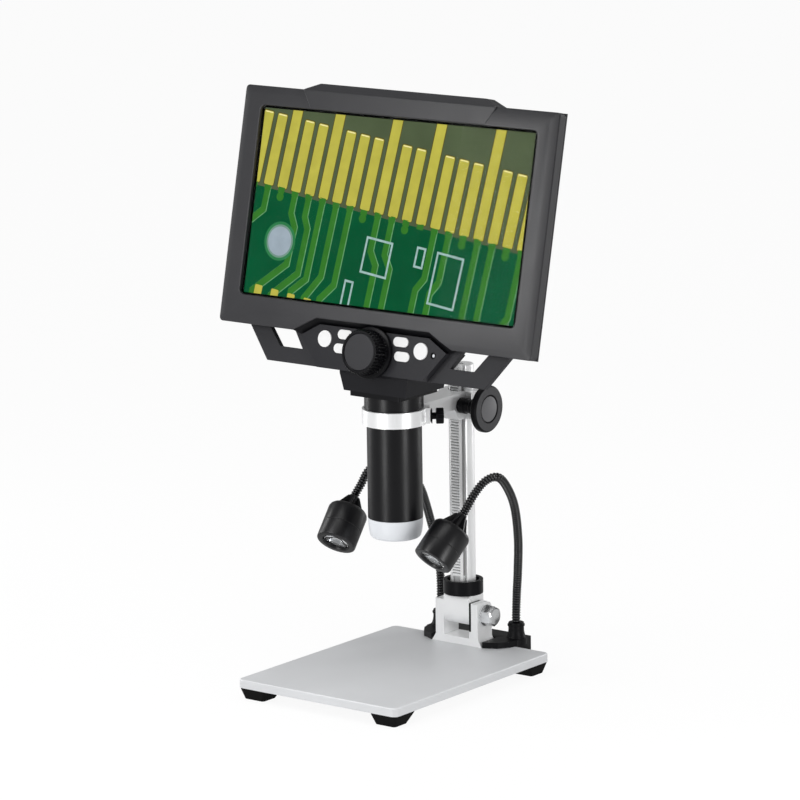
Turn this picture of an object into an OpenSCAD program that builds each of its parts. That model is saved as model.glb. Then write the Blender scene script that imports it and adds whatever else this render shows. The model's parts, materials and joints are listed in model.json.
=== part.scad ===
// Digital microscope with its own screen, on a rack-and-pinion stand with two bendable lamps.
// Millimetres, +Z up, the viewer looks along +Y. The origin lies on the ground, at the middle of
// the footprint.

/* [Base] */
// Width of the base plate
base_w = 126; // [116:1:150]
// Depth of the base plate
base_d = 164; // [156:1:190]
// Thickness of the base plate
base_t = 5.5; // [5:0.5:8]
// Corner radius of the base plate
base_r = 4; // [3:0.5:12]
// Chamfer along the top edge of the base plate
base_chamfer = 0.6; // [0.4:0.1:1.5]
// Height of the rubber feet
foot_h = 7.5; // [6:0.5:12]
// Distance of the column's axis from the rear edge of the plate
col_inset = 8; // [8:0.5:10]

/* [Tilting foot of the column] */
// Height of the tilt axis above the plate
hinge_h = 20.2; // [19:0.1:26]
// Width of the tilt block between the ears
block_w = 20.4; // [18:0.2:22]
// Depth of the tilt block and of the bracket
block_d = 16; // [14:0.5:16]
// Height of the block above the tilt axis
block_rise = 12.8; // [11:0.2:16]
// Thickness of each ear of the bracket
ear_t = 5.2; // [4:0.2:7]
// Height of the ears above the plate
ear_h = 28.5; // [27:0.5:29]
// Thickness of the friction plates beside the block
washer_t = 1.5; // [1:0.1:2]
// Radius of the tilt bolt
bolt_r = 3; // [2.5:0.5:4]

/* [Column] */
// Radius of the column
col_r = 8.2; // [8:0.1:8.6]
// Length of the column above its block
col_len = 151.5; // [145:0.5:170]
// Tooth module of the rack and its pinion
rack_m = 0.6; // [0.5:0.05:0.6]
// Teeth on the pinion
pinion_z = 16; // [16:1:16]
// Width of the rack
rack_w = 6.5; // [5:0.5:7]
// Outer radius of the cup at the column's foot
collar_r = 13; // [12:0.5:14]
// Height of the cup at the column's foot
collar_h = 9.4; // [7:0.2:11]

/* [Carriage] */
// Height of the carriage's ring above the plate
arm_h = 158; // [156:0.5:161]
// Thickness of the ring and arm
arm_t = 10; // [9.5:0.5:12]
// Width of the arm
arm_w = 17; // [16:0.5:20]
// Distance from the column's axis to the barrel's axis
reach = 71; // [68:0.5:80]
// Outer radius of the ring
ring_r = 20.4; // [20:0.2:22]
// Width of the clamp around the column
clamp_w = 26; // [24:0.5:28]
// Height of the clamp
clamp_t = 17.5; // [16:0.5:21]
// Radius of the height knob
knob_r = 15.2; // [13:0.2:16]
// Thickness of the height knob's disc
knob_t = 4.5; // [4:0.5:6]
// Distance of the height knob's back from the middle of the arm
knob_x = 27; // [24:0.5:30]

/* [Microscope barrel] */
// Radius of the barrel
barrel_r = 17.55; // [17:0.05:18]
// Length of the barrel under the ring
barrel_len = 60.8; // [57:0.2:63]
// Height of the barrel's wide part on top of the ring
shoulder_h = 9; // [8.5:0.5:14]
// Height of the frosted light cover
cover_h = 13.1; // [11:0.1:14]
// Bore of the barrel
bore_r = 15; // [14.5:0.1:15]
// Side of the square plate under the neck
neck_plate_w = 40; // [38:1:42]

/* [Screen] */
// Width of the screen's case
case_w = 246.5; // [240:0.5:255]
// Height of the screen's case
case_h = 152.3; // [148:0.1:156]
// Depth of the front bezel
bezel_d = 8; // [8:0.5:10]
// Depth of the rear cover
back_d = 22; // [18:1:30]
// Wall of the case
case_wall = 2.2; // [1.8:0.1:3]
// Border of the bezel at each side of the picture
side_border = 14.5; // [13.5:0.1:18]
// Border of the bezel above the picture
top_border = 12.28; // [12:0.02:16]
// Border of the bezel below the picture
low_border = 18.52; // [18:0.02:22]
// Lean of the screen from the vertical
screen_tilt = 12.5; // [12:0.1:13]
// Height of the case's lower edge above the neck plate
case_rise = 35.255; // [35:0.005:37]
// Distance of the case's lower edge in front of the barrel's axis
case_forward = 23.732; // [23.5:0.004:24.5]

/* [Console] */
// Distance of the focus wheel's axis below the case
wheel_drop = 8.05; // [7.95:0.05:8.25]
// Radius of the focus wheel
wheel_r = 13.5; // [12:0.1:14]
// Distance the focus wheel stands out of the screen's front plane
wheel_out = 10; // [8:0.5:12]
// Tooth module of the focus pinion
focus_m = 0.4; // [0.35:0.05:0.4]
// Travel of each button
button_travel = 0.8; // [0.5:0.1:0.9]

/* [Lamps] */
// Radius of the lamp heads
lamp_r = 13; // [11.5:0.1:14]
// Length of a lamp's cylinder
lamp_len = 25.5; // [23:0.5:28]
// Radius of the bendable necks
neck_r = 2.9; // [2.5:0.1:3]
// Sideways distance of the neck sockets from the middle
socket_x = 30.5; // [30:0.5:32]

/* [Hidden] */

$fn = 64;
// A cutter runs this far past the face it opens
cut = 1;
// Radial clearance of a shaft or barrel that turns or slides in its bore
run = 0.08;
// Radial clearance of a screw or pressed pin in its hole
snug = 0.05;
// Gap beside a moving flank
gap = 0.1;
// Pressure angle of the gear teeth
pressure = 20;

// Ground plan and heights
base_y = -8;
plate_z = foot_h + base_t;
col_y = base_y + base_d / 2 - col_inset;
bar_y = col_y - reach;
hinge_z = plate_z + hinge_h;
block_top = hinge_z + block_rise;
block_r = block_d / 2;
ear_in = block_w / 2 + washer_t;
ear_out = ear_in + ear_t;
ring_z = plate_z + arm_h;
arm_top = ring_z + arm_t;
clamp_z = arm_top - clamp_t;

// Feet
foot_top = [20, 21];
foot_bottom = [15.5, 13];
foot_edge = 1;
foot_corner = 3;
foot_round = 2;
foot_cap = 1;
foot_x = base_w / 2 - foot_corner - foot_bottom[0] / 2;
foot_y = base_d / 2 - foot_corner - foot_bottom[1] / 2;
foot_screw_r = 1.5;
foot_head_r = 2.8;
foot_head_h = 2;
foot_seat = 4;
foot_bite = 4;

// Screws that hold the bracket and the lamp yoke from below
base_screw_r = 1.9;
base_head_r = 3.3;
base_head_h = 2.3;
base_seat = 2.5;
base_bite = 3;
bracket_screw_x = 6;
yoke_screw_x = 29;
yoke_screw_y = col_y + 3;

// Bracket and tilt block
bracket_web = 5;
flare_x = 20;
ear_round = 5;
block_fillet = 2.5;
flange_r = 7;
bolt_flange = 1.4;
hex_r = 6.8;
hex_h = 7.6;
hex_bevel = 1.3;
hex_top_r = hex_r - 1.4 * hex_bevel;
nut_r = 5.8;
nut_h = 3.6;
spigot_r = 5.5;
spigot_h = 6.5;
grub_r = 1.5;
grub_len = 2.4;

// Rack and pinion
collar_floor = 2;
collar_wall = 2.6;
rack_add = 0.92 * rack_m;
rack_ded = 1.17 * rack_m;
rack_tip = 8;
rack_back = 4.8;
rack_bottom = block_top + collar_h + collar_wall;
rack_top = block_top + col_len - 2.5;
pinion_r = rack_m * pinion_z / 2;
pinion_out = rack_tip - rack_add + pinion_r;
pinion_y = col_y - pinion_out;
pinion_below = 7.8;
pinion_h = arm_top - pinion_below;
pinion_w = 6;
spindle_r = 2.5;
bush_r = 4;
hub_r = 5.15;
knob_recess_r = 8.3;
knob_recess = 1;
spindle_end_t = 2;
spindle_head_r = 3.6;
groove_w = 2.4;
groove_floor = 6;
top_hole_r = 2.1;
top_hole = 15;

// Carriage
bevel_out = 18.4;
bevel_foot = 13.7;
clamp_front = col_r - 1.4;
clamp_back = 12;
lug_w = 9;
lug_out = 22.6;
lug_root = 3;
clamp_turn = 40;
clamp_screw_z = ring_z + 4;
clamp_screw_r = 2;
clamp_hidden = 0.3;
thumb_at = [22.8, 24, 26.5, 31.3];
thumb_r = 5.1;
thumb_flange_r = [3.4, 4.9];
thumb_waist_r = 2.2;
friction_r = 2;

// Barrel and light
barrel_z = ring_z - barrel_len;
shoulder_t = 1.35;
shoulder_r = barrel_r + shoulder_t;
barrel_top = arm_top + shoulder_h;
barrel_spigot_r = 16.5;
barrel_spigot = 6;
upstand = 2.6;
cover_r = barrel_r - 0.05;
cover_foot_r = 14;
cover_edge_r = 16.6;
cover_edge = 3;
cover_floor = 2;
view_r = 7;
cover_z = barrel_z - cover_h;
led_seat = 2;
led_board_t = 1.6;
led_ring_r = 10.5;
led_count = 8;
led_r = 1.6;
led_h = 1.4;
neck_plate_t = 3;
neck_plate_r = 1.5;
neck_z = barrel_top + neck_plate_t;
neck_screw_at = 16.4;
neck_sink = 0.2;

// Sensor
sensor_r = 7;
sensor_h = 2;

// Lens carrier
carrier_z = barrel_z + 5.6;
carrier_h = 34;
carrier_wall = 2.5;
lens_r = 10.5;
lens_t = 5;
lens_seat = 1.5;
bar_x = [2.83, 6.4];
bar_depth = [8.8, 13];
bar_mid_y = bar_y + (bar_depth[0] + bar_depth[1]) / 2;
focus_z = 16;
focus_r = focus_m * focus_z / 2;
focus_add = 0.92 * focus_m;
focus_ded = 1.17 * focus_m;
focus_shaft_r = 2;
focus_gear_w = 6.6;
focus_travel = 2.4;
focus_reach = focus_travel + 0.5;

// Screen
case_bottom = -case_h / 2;
case_top = case_h / 2;
case_side = case_w / 2;
screen_y = bar_y - case_forward - case_bottom * sin(screen_tilt);
screen_z = neck_z + case_rise - case_bottom * cos(screen_tilt);
wheel_v = case_bottom - wheel_drop;
mesh_n = (screen_y + wheel_v * sin(screen_tilt) - bar_mid_y) / cos(screen_tilt);
mesh_z = screen_z + wheel_v * cos(screen_tilt) + mesh_n * sin(screen_tilt);
window_w = case_w - 2 * side_border;
window_h = case_h - top_border - low_border;
window_v = (low_border - top_border) / 2;
window_r = 3.5;
case_r = 2.5;
front_wall = 2;
glass_t = 1;
panel_lap = 3.75;
panel_drop = 0.48;
panel_w = window_w + 2 * panel_lap;
panel_h = window_h + 2 * panel_lap;
panel_v = window_v - panel_drop;
notch_depth = 9.25;
notch_low = [62.2, case_bottom];
notch_high = [44.5, case_bottom + notch_depth];
bump_in = 47.25;
bump_slope = 11;
bump_rise = 4.65;
bump_base = case_side - bump_in;
bump_top = bump_base - bump_slope;
bump_v = case_top + bump_rise;
bump_front = 3;
bump_back = 12;
bump_sunk = 4.15;
bump_seat = case_top - bump_sunk;
back_taper = 18;
post_r = 2.8;
boss_r = 4.6;
boss_back = 17;
screw_seat = 13;
screw_tip = -front_wall - 1.4;
post_inset = [6.75, 21.15];
post_x = case_side - post_inset[0];
post_v = [case_bottom + post_inset[1], 0, case_top - post_inset[1]];
case_screw_r = 1.45;
case_head_h = 1.8;
panel_post_inset = [53.25, 18.15, 34.15];
panel_post_x = case_side - panel_post_inset[0];
panel_post_v = [case_bottom + panel_post_inset[1], case_top - panel_post_inset[2]];
board_start = 14;
board_inset = [15.25, 24.15, 48.15];
board_x = [board_start, case_side - board_inset[0]];
board_v = [case_bottom + board_inset[1], case_top - board_inset[2]];
board_n = 20;
board_t = 1.6;
standoff_in = 4;
standoff_r = 2.5;
tab_inset = [47.25, 29.25];
tab_rise = 4.15;
tab_x = [case_side - tab_inset[0], case_side - tab_inset[1]];
tab_v = case_bottom + tab_rise;
apron_x = 61;
apron_rise = 11.35;
apron_v = case_bottom + apron_rise;
apron_t = 2;
slot_inset = [52.15, 26.15];
slot_v = [case_top - slot_inset[0], case_top - slot_inset[1]];
slot_w = 4;
slot_pitch = 9;
slots = 6;
port_w = 9;
port_h = 3.2;
port_len = 9;
port_slot = 0.35;
port_tongue = 0.6;
port_inset = 0.4;

// Console, its housing and the grips
console_front = 3.3;
console_wall = 1.5;
console_rise = [-21.35, -2.35, 5.65];
console_v = [for (rise = console_rise) case_bottom + rise];
console_x = [41.9, 57.3, 43.2];
console_rim = 1.2;
box_d = 16;
box_wall = 2;
housing_low = [24.4, 20];
housing_high = [27, 21];
housing_flare = 12;
housing_top = case_rise - 5.2;
housing_wall = 2.5;
boss_face = 42;
spindle_end = 46.6;
top_screw_x = 20;
top_screw_n = 18;
neck_boss_r = 3;
neck_boss_h = 8;
neck_head_r = 2.8;
neck_head_h = 1.8;
neck_bite = 9;
top_bite = 5;
focus_boss_r = 5;
grip_t = 4;
round_button_r = 5.3;
round_button_x = 37.9;
round_button_drop = 2.95;
round_button_at = [round_button_x, case_bottom - round_button_drop];
oval_w = 11.5;
oval_h = 6;
oval_x = [22, 24];
oval_rise = [1.15, -7.85];
oval_top_at = [oval_x[0], case_bottom + oval_rise[0]];
oval_low_at = [oval_x[1], case_bottom + oval_rise[1]];
button_gap = 0.15;
button_out = 0.6;
flange_t = 0.7;
button_board_t = 1.5;
button_under = -console_front - console_wall - snug;
board_face = button_under - flange_t - button_travel - gap;
wheel_boss_r = 5;
post_pair_x = [36, 32];
post_pair_rise = [-15.85, 2.65];
console_posts = [for (i = [0, 1]) [post_pair_x[i], case_bottom + post_pair_rise[i]]];
console_post_r = 1.5;
button_flange = 0.9;
grip_x = [86, 102.6];
grip_window_low = [58.5, 76.6];
grip_window_high = [66.3, 86.1];
grip_window_drop = 11.45;
grip_window_v = case_bottom - grip_window_drop;
status_x = 47.7;
status_drop = 4.65;
status_at = [status_x, case_bottom - status_drop];
status_r = 2;
wheel_flange_r = 16.5;
wheel_flange_t = 2;
wheel_gap = 0.5;

// Lamps: the neck's own points are chosen by hand
yoke_t = 4;
yoke_half = 36.5;
yoke_arm = [[20.4, -8], [30, -3.5], [34.5, 3], [yoke_half, 10]];
yoke_out = 16;
yoke_gap = 0.3;
inlet_z = plate_z - 2;
yoke_rear_y = base_y + base_d / 2 + yoke_out;
lobe_r = 7;
socket_flare = 5;
socket_lip = 0.6;
socket_lip_h = 1.2;
socket_out = 8;
socket_h = 14;
socket_y = base_y + base_d / 2 + socket_out;
socket_top = plate_z + socket_h;
socket_r = 5;
lamp_recess_r = 9.2;
lamp_recess = 9;
lamp_shoulder = 2;
lamp_bevel = 1.2;
lamp_hub_r = 3.3;
lamp_fins = 6;
fin_t = 1.1;
fin_r = [9.4, 4.3];
fin_below = 1;
optic_at = 1.6;
optic_t = 1.6;
optic_tip_r = 5;
wire_r = 1.4;
neck_sides = 8;
neck_steps = 4;
right_lens = [34.6, -13, 87.4];
left_lens = [-46.5, -8, 87.2];
right_route = [
    [socket_x, socket_y, socket_top], [31.5, 81.5, 45], [35.9, 77, 63.6], [43.6, 67, 87],
    [50.6, 54, 111], [53.7, 42, 126.7], [53.7, 32, 135.5], [49.2, 25, 134], [44.6, 19, 125.9],
    [40.1, 12, 113]
];
left_route = [
    [-socket_x, socket_y, socket_top], [-30.4, 82, 46.5], [-30.2, 80, 62], [-29.3, 75.4, 75.5],
    [-26.3, 62.1, 101.4], [-24.2, 52.8, 115.4], [-26, 46.8, 124.5], [-30, 40.6, 132.2],
    [-35, 36.2, 135.6], [-40.5, 31, 134.4], [-45.5, 25.4, 128.3], [-47.3, 20.5, 120.6],
    [-49.4, 15.8, 113]
];

// ---- Shared shapes ----

// A slab with upright rounded corners, its underside at z = 0
module rounded_slab(w, d, h, r) {
    translate([-w / 2 + r, -d / 2, 0]) cube([w - 2 * r, d, h]);
    translate([-w / 2, -d / 2 + r, 0]) cube([w, d - 2 * r, h]);
    for (sx = [-1, 1], sy = [-1, 1])
        translate([sx * (w / 2 - r), sy * (d / 2 - r), 0]) cylinder(r = r, h = h);
}

// The same slab with a chamfer c along its top edge
module chamfered_slab(w, d, h, r, c) {
    rounded_slab(w, d, h - c, r);
    translate([0, 0, h - c]) {
        rotate([90, 0, 90]) linear_extrude(w - 2 * r, center = true)
            polygon([[-d / 2, 0], [d / 2, 0], [d / 2 - c, c], [-d / 2 + c, c]]);
        rotate([90, 0, 0]) linear_extrude(d - 2 * r, center = true)
            polygon([[-w / 2, 0], [w / 2, 0], [w / 2 - c, c], [-w / 2 + c, c]]);
        for (sx = [-1, 1], sy = [-1, 1])
            translate([sx * (w / 2 - r), sy * (d / 2 - r), 0])
                cylinder(r1 = r, r2 = r - c, h = c);
    }
}

// A cylinder along X from x0 to x1
module rod_x(x0, x1, r, y, z) {
    translate([x0, y, z]) rotate([0, 90, 0]) cylinder(r = r, h = x1 - x0);
}

// An upright cylinder on the barrel's axis from z0 to z1
module on_barrel(z0, z1, r) {
    translate([0, bar_y, z0]) cylinder(r = r, h = z1 - z0);
}

// Places children in the screen's own frame: x right, y up the screen, z out towards the viewer
module on_screen() {
    translate([0, screen_y, screen_z]) rotate([90 - screen_tilt, 0, 0]) children();
}

// A cylinder square to the screen, from depth n0 out to depth n1
module screen_pin(at, n0, n1, r) {
    translate([at[0], at[1], n0]) cylinder(r = r, h = n1 - n0);
}

// A box in the screen's own frame
module screen_box(x, v, n) {
    translate([x[0], v[0], n[0]]) cube([x[1] - x[0], v[1] - v[0], n[1] - n[0]]);
}

// Half of a tooth's angle at radius r, for z teeth on base radius rb
function involute(a) = (tan(a) - a * PI / 180) * 180 / PI;
function half_tooth(r, rb, z, slack) =
    90 / z - slack + involute(pressure) - involute(acos(min(1, rb / r)));
function polar(r, a) = [r * cos(a), r * sin(a)];

// A spur gear's outline, with one tooth on the +x axis
function gear_outline(m, z, add, ded, slack) =
    let (rp = m * z / 2, rb = rp * cos(pressure), ra = rp + add, rr = rp - ded,
         side = [for (k = [0:4]) rb + (ra - rb) * k / 4])
    [for (i = [0:z - 1]) let (a = i * 360 / z) each concat(
        [polar(rr, a - half_tooth(rb, rb, z, slack))],
        [for (r = side) polar(r, a - half_tooth(r, rb, z, slack))],
        [for (k = [4:-1:0]) polar(side[k], a + half_tooth(side[k], rb, z, slack))],
        [polar(rr, a + half_tooth(rb, rb, z, slack))])];

module gear(m, z, add, ded, w) {
    linear_extrude(w, center = true) polygon(gear_outline(m, z, add, ded, 0.5));
}

// ---- Stand ----

module base_plate() {
    color("gainsboro")
    difference() {
        translate([0, base_y, foot_h]) chamfered_slab(base_w, base_d, base_t, base_r, base_chamfer);
        for (sx = [-1, 1], sy = [-1, 1])
            translate([sx * foot_x, base_y + sy * foot_y, foot_h - cut])
                cylinder(r = foot_screw_r + snug, h = foot_bite + cut);
        base_screw_places() {
            translate([0, 0, foot_h - cut]) cylinder(r = base_head_r + gap, h = base_seat + cut);
            translate([0, 0, foot_h]) cylinder(r = base_screw_r + snug, h = base_t + cut);
        }
    }
}

module foot(sx, sy) {
    color("dimgray")
    translate([0, base_y, 0]) mirror([sx < 0 ? 1 : 0, 0, 0]) mirror([0, sy < 0 ? 1 : 0, 0])
    difference() {
        hull() {
            translate([base_w / 2 - foot_edge - foot_top[0] / 2,
                       base_d / 2 - foot_edge - foot_top[1] / 2, foot_h - foot_cap])
                rounded_slab(foot_top[0], foot_top[1], foot_cap, foot_round, $fn = 32);
            translate([foot_x, foot_y, 0])
                rounded_slab(foot_bottom[0], foot_bottom[1], foot_cap, foot_round, $fn = 32);
        }
        translate([foot_x, foot_y, -cut]) cylinder(r = foot_head_r + gap, h = foot_seat + cut);
        translate([foot_x, foot_y, 0]) cylinder(r = foot_screw_r + snug, h = foot_h + cut);
    }
}

module foot_screws() {
    color("silver")
    for (sx = [-1, 1], sy = [-1, 1])
        translate([sx * foot_x, base_y + sy * foot_y, 0]) {
            translate([0, 0, foot_seat - foot_head_h]) cylinder(r = foot_head_r, h = foot_head_h);
            translate([0, 0, foot_seat - foot_head_h])
                cylinder(r = foot_screw_r, h = foot_head_h + foot_h - foot_seat + foot_bite - gap);
        }
}

module base_screw_places() {
    for (s = [-1, 1]) {
        translate([s * bracket_screw_x, col_y, 0]) children();
        translate([s * yoke_screw_x, yoke_screw_y, 0]) children();
    }
}

module base_screws() {
    color("silver")
    base_screw_places() {
        translate([0, 0, foot_h + base_seat - base_head_h])
            cylinder(r = base_head_r, h = base_head_h);
        translate([0, 0, foot_h + base_seat - base_head_h])
            cylinder(r = base_screw_r, h = base_head_h + base_t - base_seat + base_bite - gap);
    }
}

module hinge_bracket() {
    web_z = plate_z + bracket_web;
    ear_z = plate_z + ear_h;
    color("lightgray")
    difference() {
        translate([0, col_y, 0]) rotate([90, 0, 0]) linear_extrude(block_d, center = true)
            polygon([
                [-flare_x, plate_z], [flare_x, plate_z], [ear_out, web_z], [ear_out, ear_z],
                [ear_in, ear_z], [ear_in, web_z], [-ear_in, web_z], [-ear_in, ear_z],
                [-ear_out, ear_z], [-ear_out, web_z]
            ]);
        difference() {
            translate([-flare_x, col_y + block_r - ear_round, ear_z - ear_round])
                cube([2 * flare_x, ear_round + cut, ear_round + cut]);
            rod_x(-flare_x - cut, flare_x + cut, ear_round,
                  col_y + block_r - ear_round, ear_z - ear_round);
        }
        rod_x(-flare_x, flare_x, bolt_r + run, col_y, hinge_z);
        nut_prism(nut_r + snug, -flare_x, -ear_out + nut_h);
        for (s = [-1, 1])
            translate([s * bracket_screw_x, col_y, plate_z - cut])
                cylinder(r = base_screw_r + snug, h = base_bite + cut);
    }
}

module hinge_bolt() {
    color("silver")
    rod_x(-ear_out, ear_out + bolt_flange, bolt_r, col_y, hinge_z);
    color("silver")
    rod_x(ear_out, ear_out + bolt_flange, flange_r, col_y, hinge_z);
    color("silver")
    translate([ear_out + bolt_flange, col_y, hinge_z]) rotate([0, 90, 0]) intersection() {
        cylinder(r = hex_r, h = hex_h, $fn = 6);
        union() {
            cylinder(r = hex_r + gap, h = hex_h - hex_bevel);
            translate([0, 0, hex_h - hex_bevel])
                cylinder(r1 = hex_r + gap, r2 = hex_top_r, h = hex_bevel);
        }
    }
}

// A hexagon on the tilt axis, from one x to another
module nut_prism(r, from, to) {
    translate([from, col_y, hinge_z]) rotate([0, 90, 0]) cylinder(r = r, h = to - from, $fn = 6);
}

// The nut lies in a pocket of the left ear
module hinge_nut() {
    color("silver")
    difference() {
        nut_prism(nut_r, -ear_out, -ear_out + nut_h);
        rod_x(-ear_out - cut, -ear_out + nut_h + cut, bolt_r + snug, col_y, hinge_z);
    }
}

module hinge_washers() {
    web_z = plate_z + bracket_web + gap;
    ear_z = plate_z + ear_h;
    color("black")
    for (s = [-1, 1])
        difference() {
            translate([s * (block_w + washer_t) / 2, col_y, 0]) rotate([90, 0, 90])
                linear_extrude(washer_t, center = true) polygon([
                    [-block_r, web_z], [block_r, web_z], [block_r, ear_z - ear_round],
                    [block_r - ear_round / 4, ear_z - ear_round / 4],
                    [block_r - ear_round, ear_z], [-block_r, ear_z]
                ]);
            rod_x(s * ear_in - 2 * washer_t, s * ear_in + 2 * washer_t, bolt_r + run,
                  col_y, hinge_z);
        }
}

// ---- Column ----

module tilt_block() {
    front = col_y - block_r;
    color("lightgray")
    difference() {
        union() {
            translate([-block_w / 2, front, hinge_z]) cube([block_w, block_d, block_rise]);
            rod_x(-block_w / 2, block_w / 2, block_r, col_y, hinge_z);
        }
        difference() {
            translate([-block_w / 2 - cut, front - cut, block_top - block_fillet])
                cube([block_w + 2 * cut, block_fillet + cut, block_fillet + cut]);
            rod_x(-block_w, block_w, block_fillet, front + block_fillet, block_top - block_fillet);
        }
        rod_x(-block_w, block_w, bolt_r + run, col_y, hinge_z);
        translate([0, col_y, block_top - spigot_h])
            cylinder(r = spigot_r + snug, h = spigot_h + cut);
        grub_places() rod_x(0, block_w, grub_r + snug, 0, 0);
    }
}

// The two screws that hold the column in the block: one from behind, one from the left
module grub_places() {
    for (a = [90, 180])
        translate([0, col_y, block_top - spigot_h / 2]) rotate([0, 0, a]) children();
}

module column_grub_screws() {
    color("dimgray")
    grub_places() rod_x(spigot_r + snug, spigot_r + snug + grub_len, grub_r, 0, 0);
}

module column() {
    color("gainsboro")
    translate([0, col_y, block_top])
    difference() {
        union() {
            cylinder(r = col_r, h = col_len);
            translate([0, 0, -spigot_h]) cylinder(r = spigot_r, h = spigot_h + cut);
        }
        for (a = [45:90:315])
            rotate([0, 0, a]) translate([groove_floor, -groove_w / 2, -gap / 2])
                cube([col_r, groove_w, col_len + cut]);
        translate([-rack_w / 2 - snug, -col_r - cut, -gap / 2])
            cube([rack_w + 2 * snug, col_r + cut - rack_back, col_len + cut]);
        translate([0, 0, col_len - top_hole]) cylinder(r = top_hole_r, h = top_hole + cut);
    }
}

module rack() {
    pitch = PI * rack_m;
    line = rack_tip - rack_add;
    slack = 0.03;
    tip = pitch / 4 - slack - rack_add * tan(pressure);
    root = pitch / 4 - slack + rack_ded * tan(pressure);
    first = ceil((rack_bottom - pinion_h) / pitch + 0.1);
    last = floor((rack_top - pinion_h) / pitch - 0.6);
    teeth = [for (i = [first:last]) let (z = pinion_h + (i + 0.5) * pitch) each [
        [-line + rack_ded, z - root], [-line - rack_add, z - tip],
        [-line - rack_add, z + tip], [-line + rack_ded, z + root]]];
    color("silver")
    translate([0, col_y, 0]) rotate([90, 0, 90]) linear_extrude(rack_w, center = true)
        polygon(concat(
            [[-rack_back, rack_top], [-rack_back, rack_bottom], [-line + rack_ded, rack_bottom]],
            teeth, [[-line + rack_ded, rack_top]]));
}

module column_collar() {
    color("black")
    translate([0, col_y, block_top])
    difference() {
        cylinder(r = collar_r, h = collar_h);
        translate([0, 0, -cut]) cylinder(r = col_r + snug, h = collar_h + 2 * cut);
        translate([0, 0, collar_floor]) cylinder(r = collar_r - collar_wall, h = collar_h);
    }
}

// ---- Carriage and height knob ----

module carriage() {
    profile = [
        [bar_y, arm_top], [col_y + clamp_back, arm_top], [col_y + clamp_back, clamp_z],
        [col_y - bevel_foot, clamp_z], [col_y - bevel_out, ring_z], [bar_y, ring_z]
    ];
    color("gainsboro")
    difference() {
        union() {
            on_barrel(ring_z, arm_top, ring_r);
            translate([0, bar_y, ring_z]) rotate([0, 0, clamp_turn])
                translate([ring_r - lug_root, -lug_w / 2, 0])
                cube([lug_out - ring_r + lug_root, lug_w, arm_t]);
            rotate([90, 0, 90]) linear_extrude(arm_w, center = true) polygon(profile);
            translate([-clamp_w / 2, col_y - clamp_front, clamp_z])
                cube([clamp_w, clamp_front + clamp_back, clamp_t]);
        }
        on_barrel(ring_z - cut, arm_top + cut, barrel_r + run);
        translate([0, col_y, clamp_z - cut]) cylinder(r = col_r + run, h = clamp_t + 2 * cut);
        translate([-rack_w / 2 - 2 * gap, col_y - rack_tip - 3 * gap, clamp_z - cut])
            cube([rack_w + 4 * gap, rack_tip / 2, clamp_t + 2 * cut]);
        rod_x(-pinion_w / 2 - 4 * gap, pinion_w / 2 + 4 * gap, pinion_r + rack_add + 4 * gap,
              pinion_y, pinion_h);
        rod_x(-clamp_w, clamp_w, bush_r, pinion_y, pinion_h);
        clamp_place() rod_x(barrel_r - cut, lug_out + cut, clamp_screw_r + run, 0, 0);
        translate([0, col_y, pinion_h]) rotate([-90, 0, 0])
            cylinder(r = friction_r + snug, h = clamp_back + cut);
    }
}

module pinion_bushes() {
    color("darkgoldenrod")
    for (s = [-1, 1])
        difference() {
            rod_x(s > 0 ? pinion_w / 2 + 4 * gap : -arm_w / 2,
                  s > 0 ? arm_w / 2 : -pinion_w / 2 - 4 * gap, bush_r - snug, pinion_y, pinion_h);
            rod_x(-clamp_w, clamp_w, spindle_r + run, pinion_y, pinion_h);
        }
}

module friction_screw() {
    color("dimgray")
    translate([0, col_y + col_r + gap, pinion_h]) rotate([-90, 0, 0])
        cylinder(r = friction_r, h = clamp_back - col_r);
}

module pinion() {
    color("goldenrod")
    difference() {
        translate([0, pinion_y, pinion_h]) rotate([90, 0, 90])
            gear(rack_m, pinion_z, rack_add, rack_ded, pinion_w);
        rod_x(-pinion_w, pinion_w, spindle_r, pinion_y, pinion_h);
    }
}

module knob_spindle() {
    color("silver")
    rod_x(-arm_w / 2 - spindle_end_t, knob_x + knob_t / 2, spindle_r, pinion_y, pinion_h);
    color("silver")
    rod_x(-arm_w / 2 - spindle_end_t, -arm_w / 2 - gap, spindle_head_r, pinion_y, pinion_h);
}

module height_knob() {
    color("black")
    difference() {
        union() {
            rod_x(arm_w / 2 + gap, knob_x, hub_r, pinion_y, pinion_h);
            rod_x(knob_x, knob_x + knob_t, knob_r, pinion_y, pinion_h);
        }
        rod_x(0, knob_x + knob_t / 2, spindle_r, pinion_y, pinion_h);
        rod_x(knob_x + knob_t - knob_recess, knob_x + knob_t + cut, knob_recess_r,
              pinion_y, pinion_h);
    }
}

module knob_cap() {
    color("dimgray")
    rod_x(knob_x + knob_t - knob_recess, knob_x + knob_t + 0.2, knob_recess_r - snug,
          pinion_y, pinion_h);
}

// Places children on the thumb screw's axis, which points away from the barrel along +x
module clamp_place() {
    translate([0, bar_y, clamp_screw_z]) rotate([0, 0, clamp_turn]) children();
}

module clamp_screw() {
    color("black")
    clamp_place() {
        rod_x(barrel_r + clamp_hidden, thumb_at[1], clamp_screw_r, 0, 0);
        translate([thumb_at[0], 0, 0]) rotate([0, 90, 0])
            cylinder(r1 = thumb_flange_r[0], r2 = thumb_flange_r[1], h = thumb_at[1] - thumb_at[0]);
        rod_x(thumb_at[0], thumb_at[3], thumb_waist_r, 0, 0);
        rod_x(thumb_at[2], thumb_at[3], thumb_r, 0, 0);
    }
}

// ---- Barrel, light and lens ----

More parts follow.
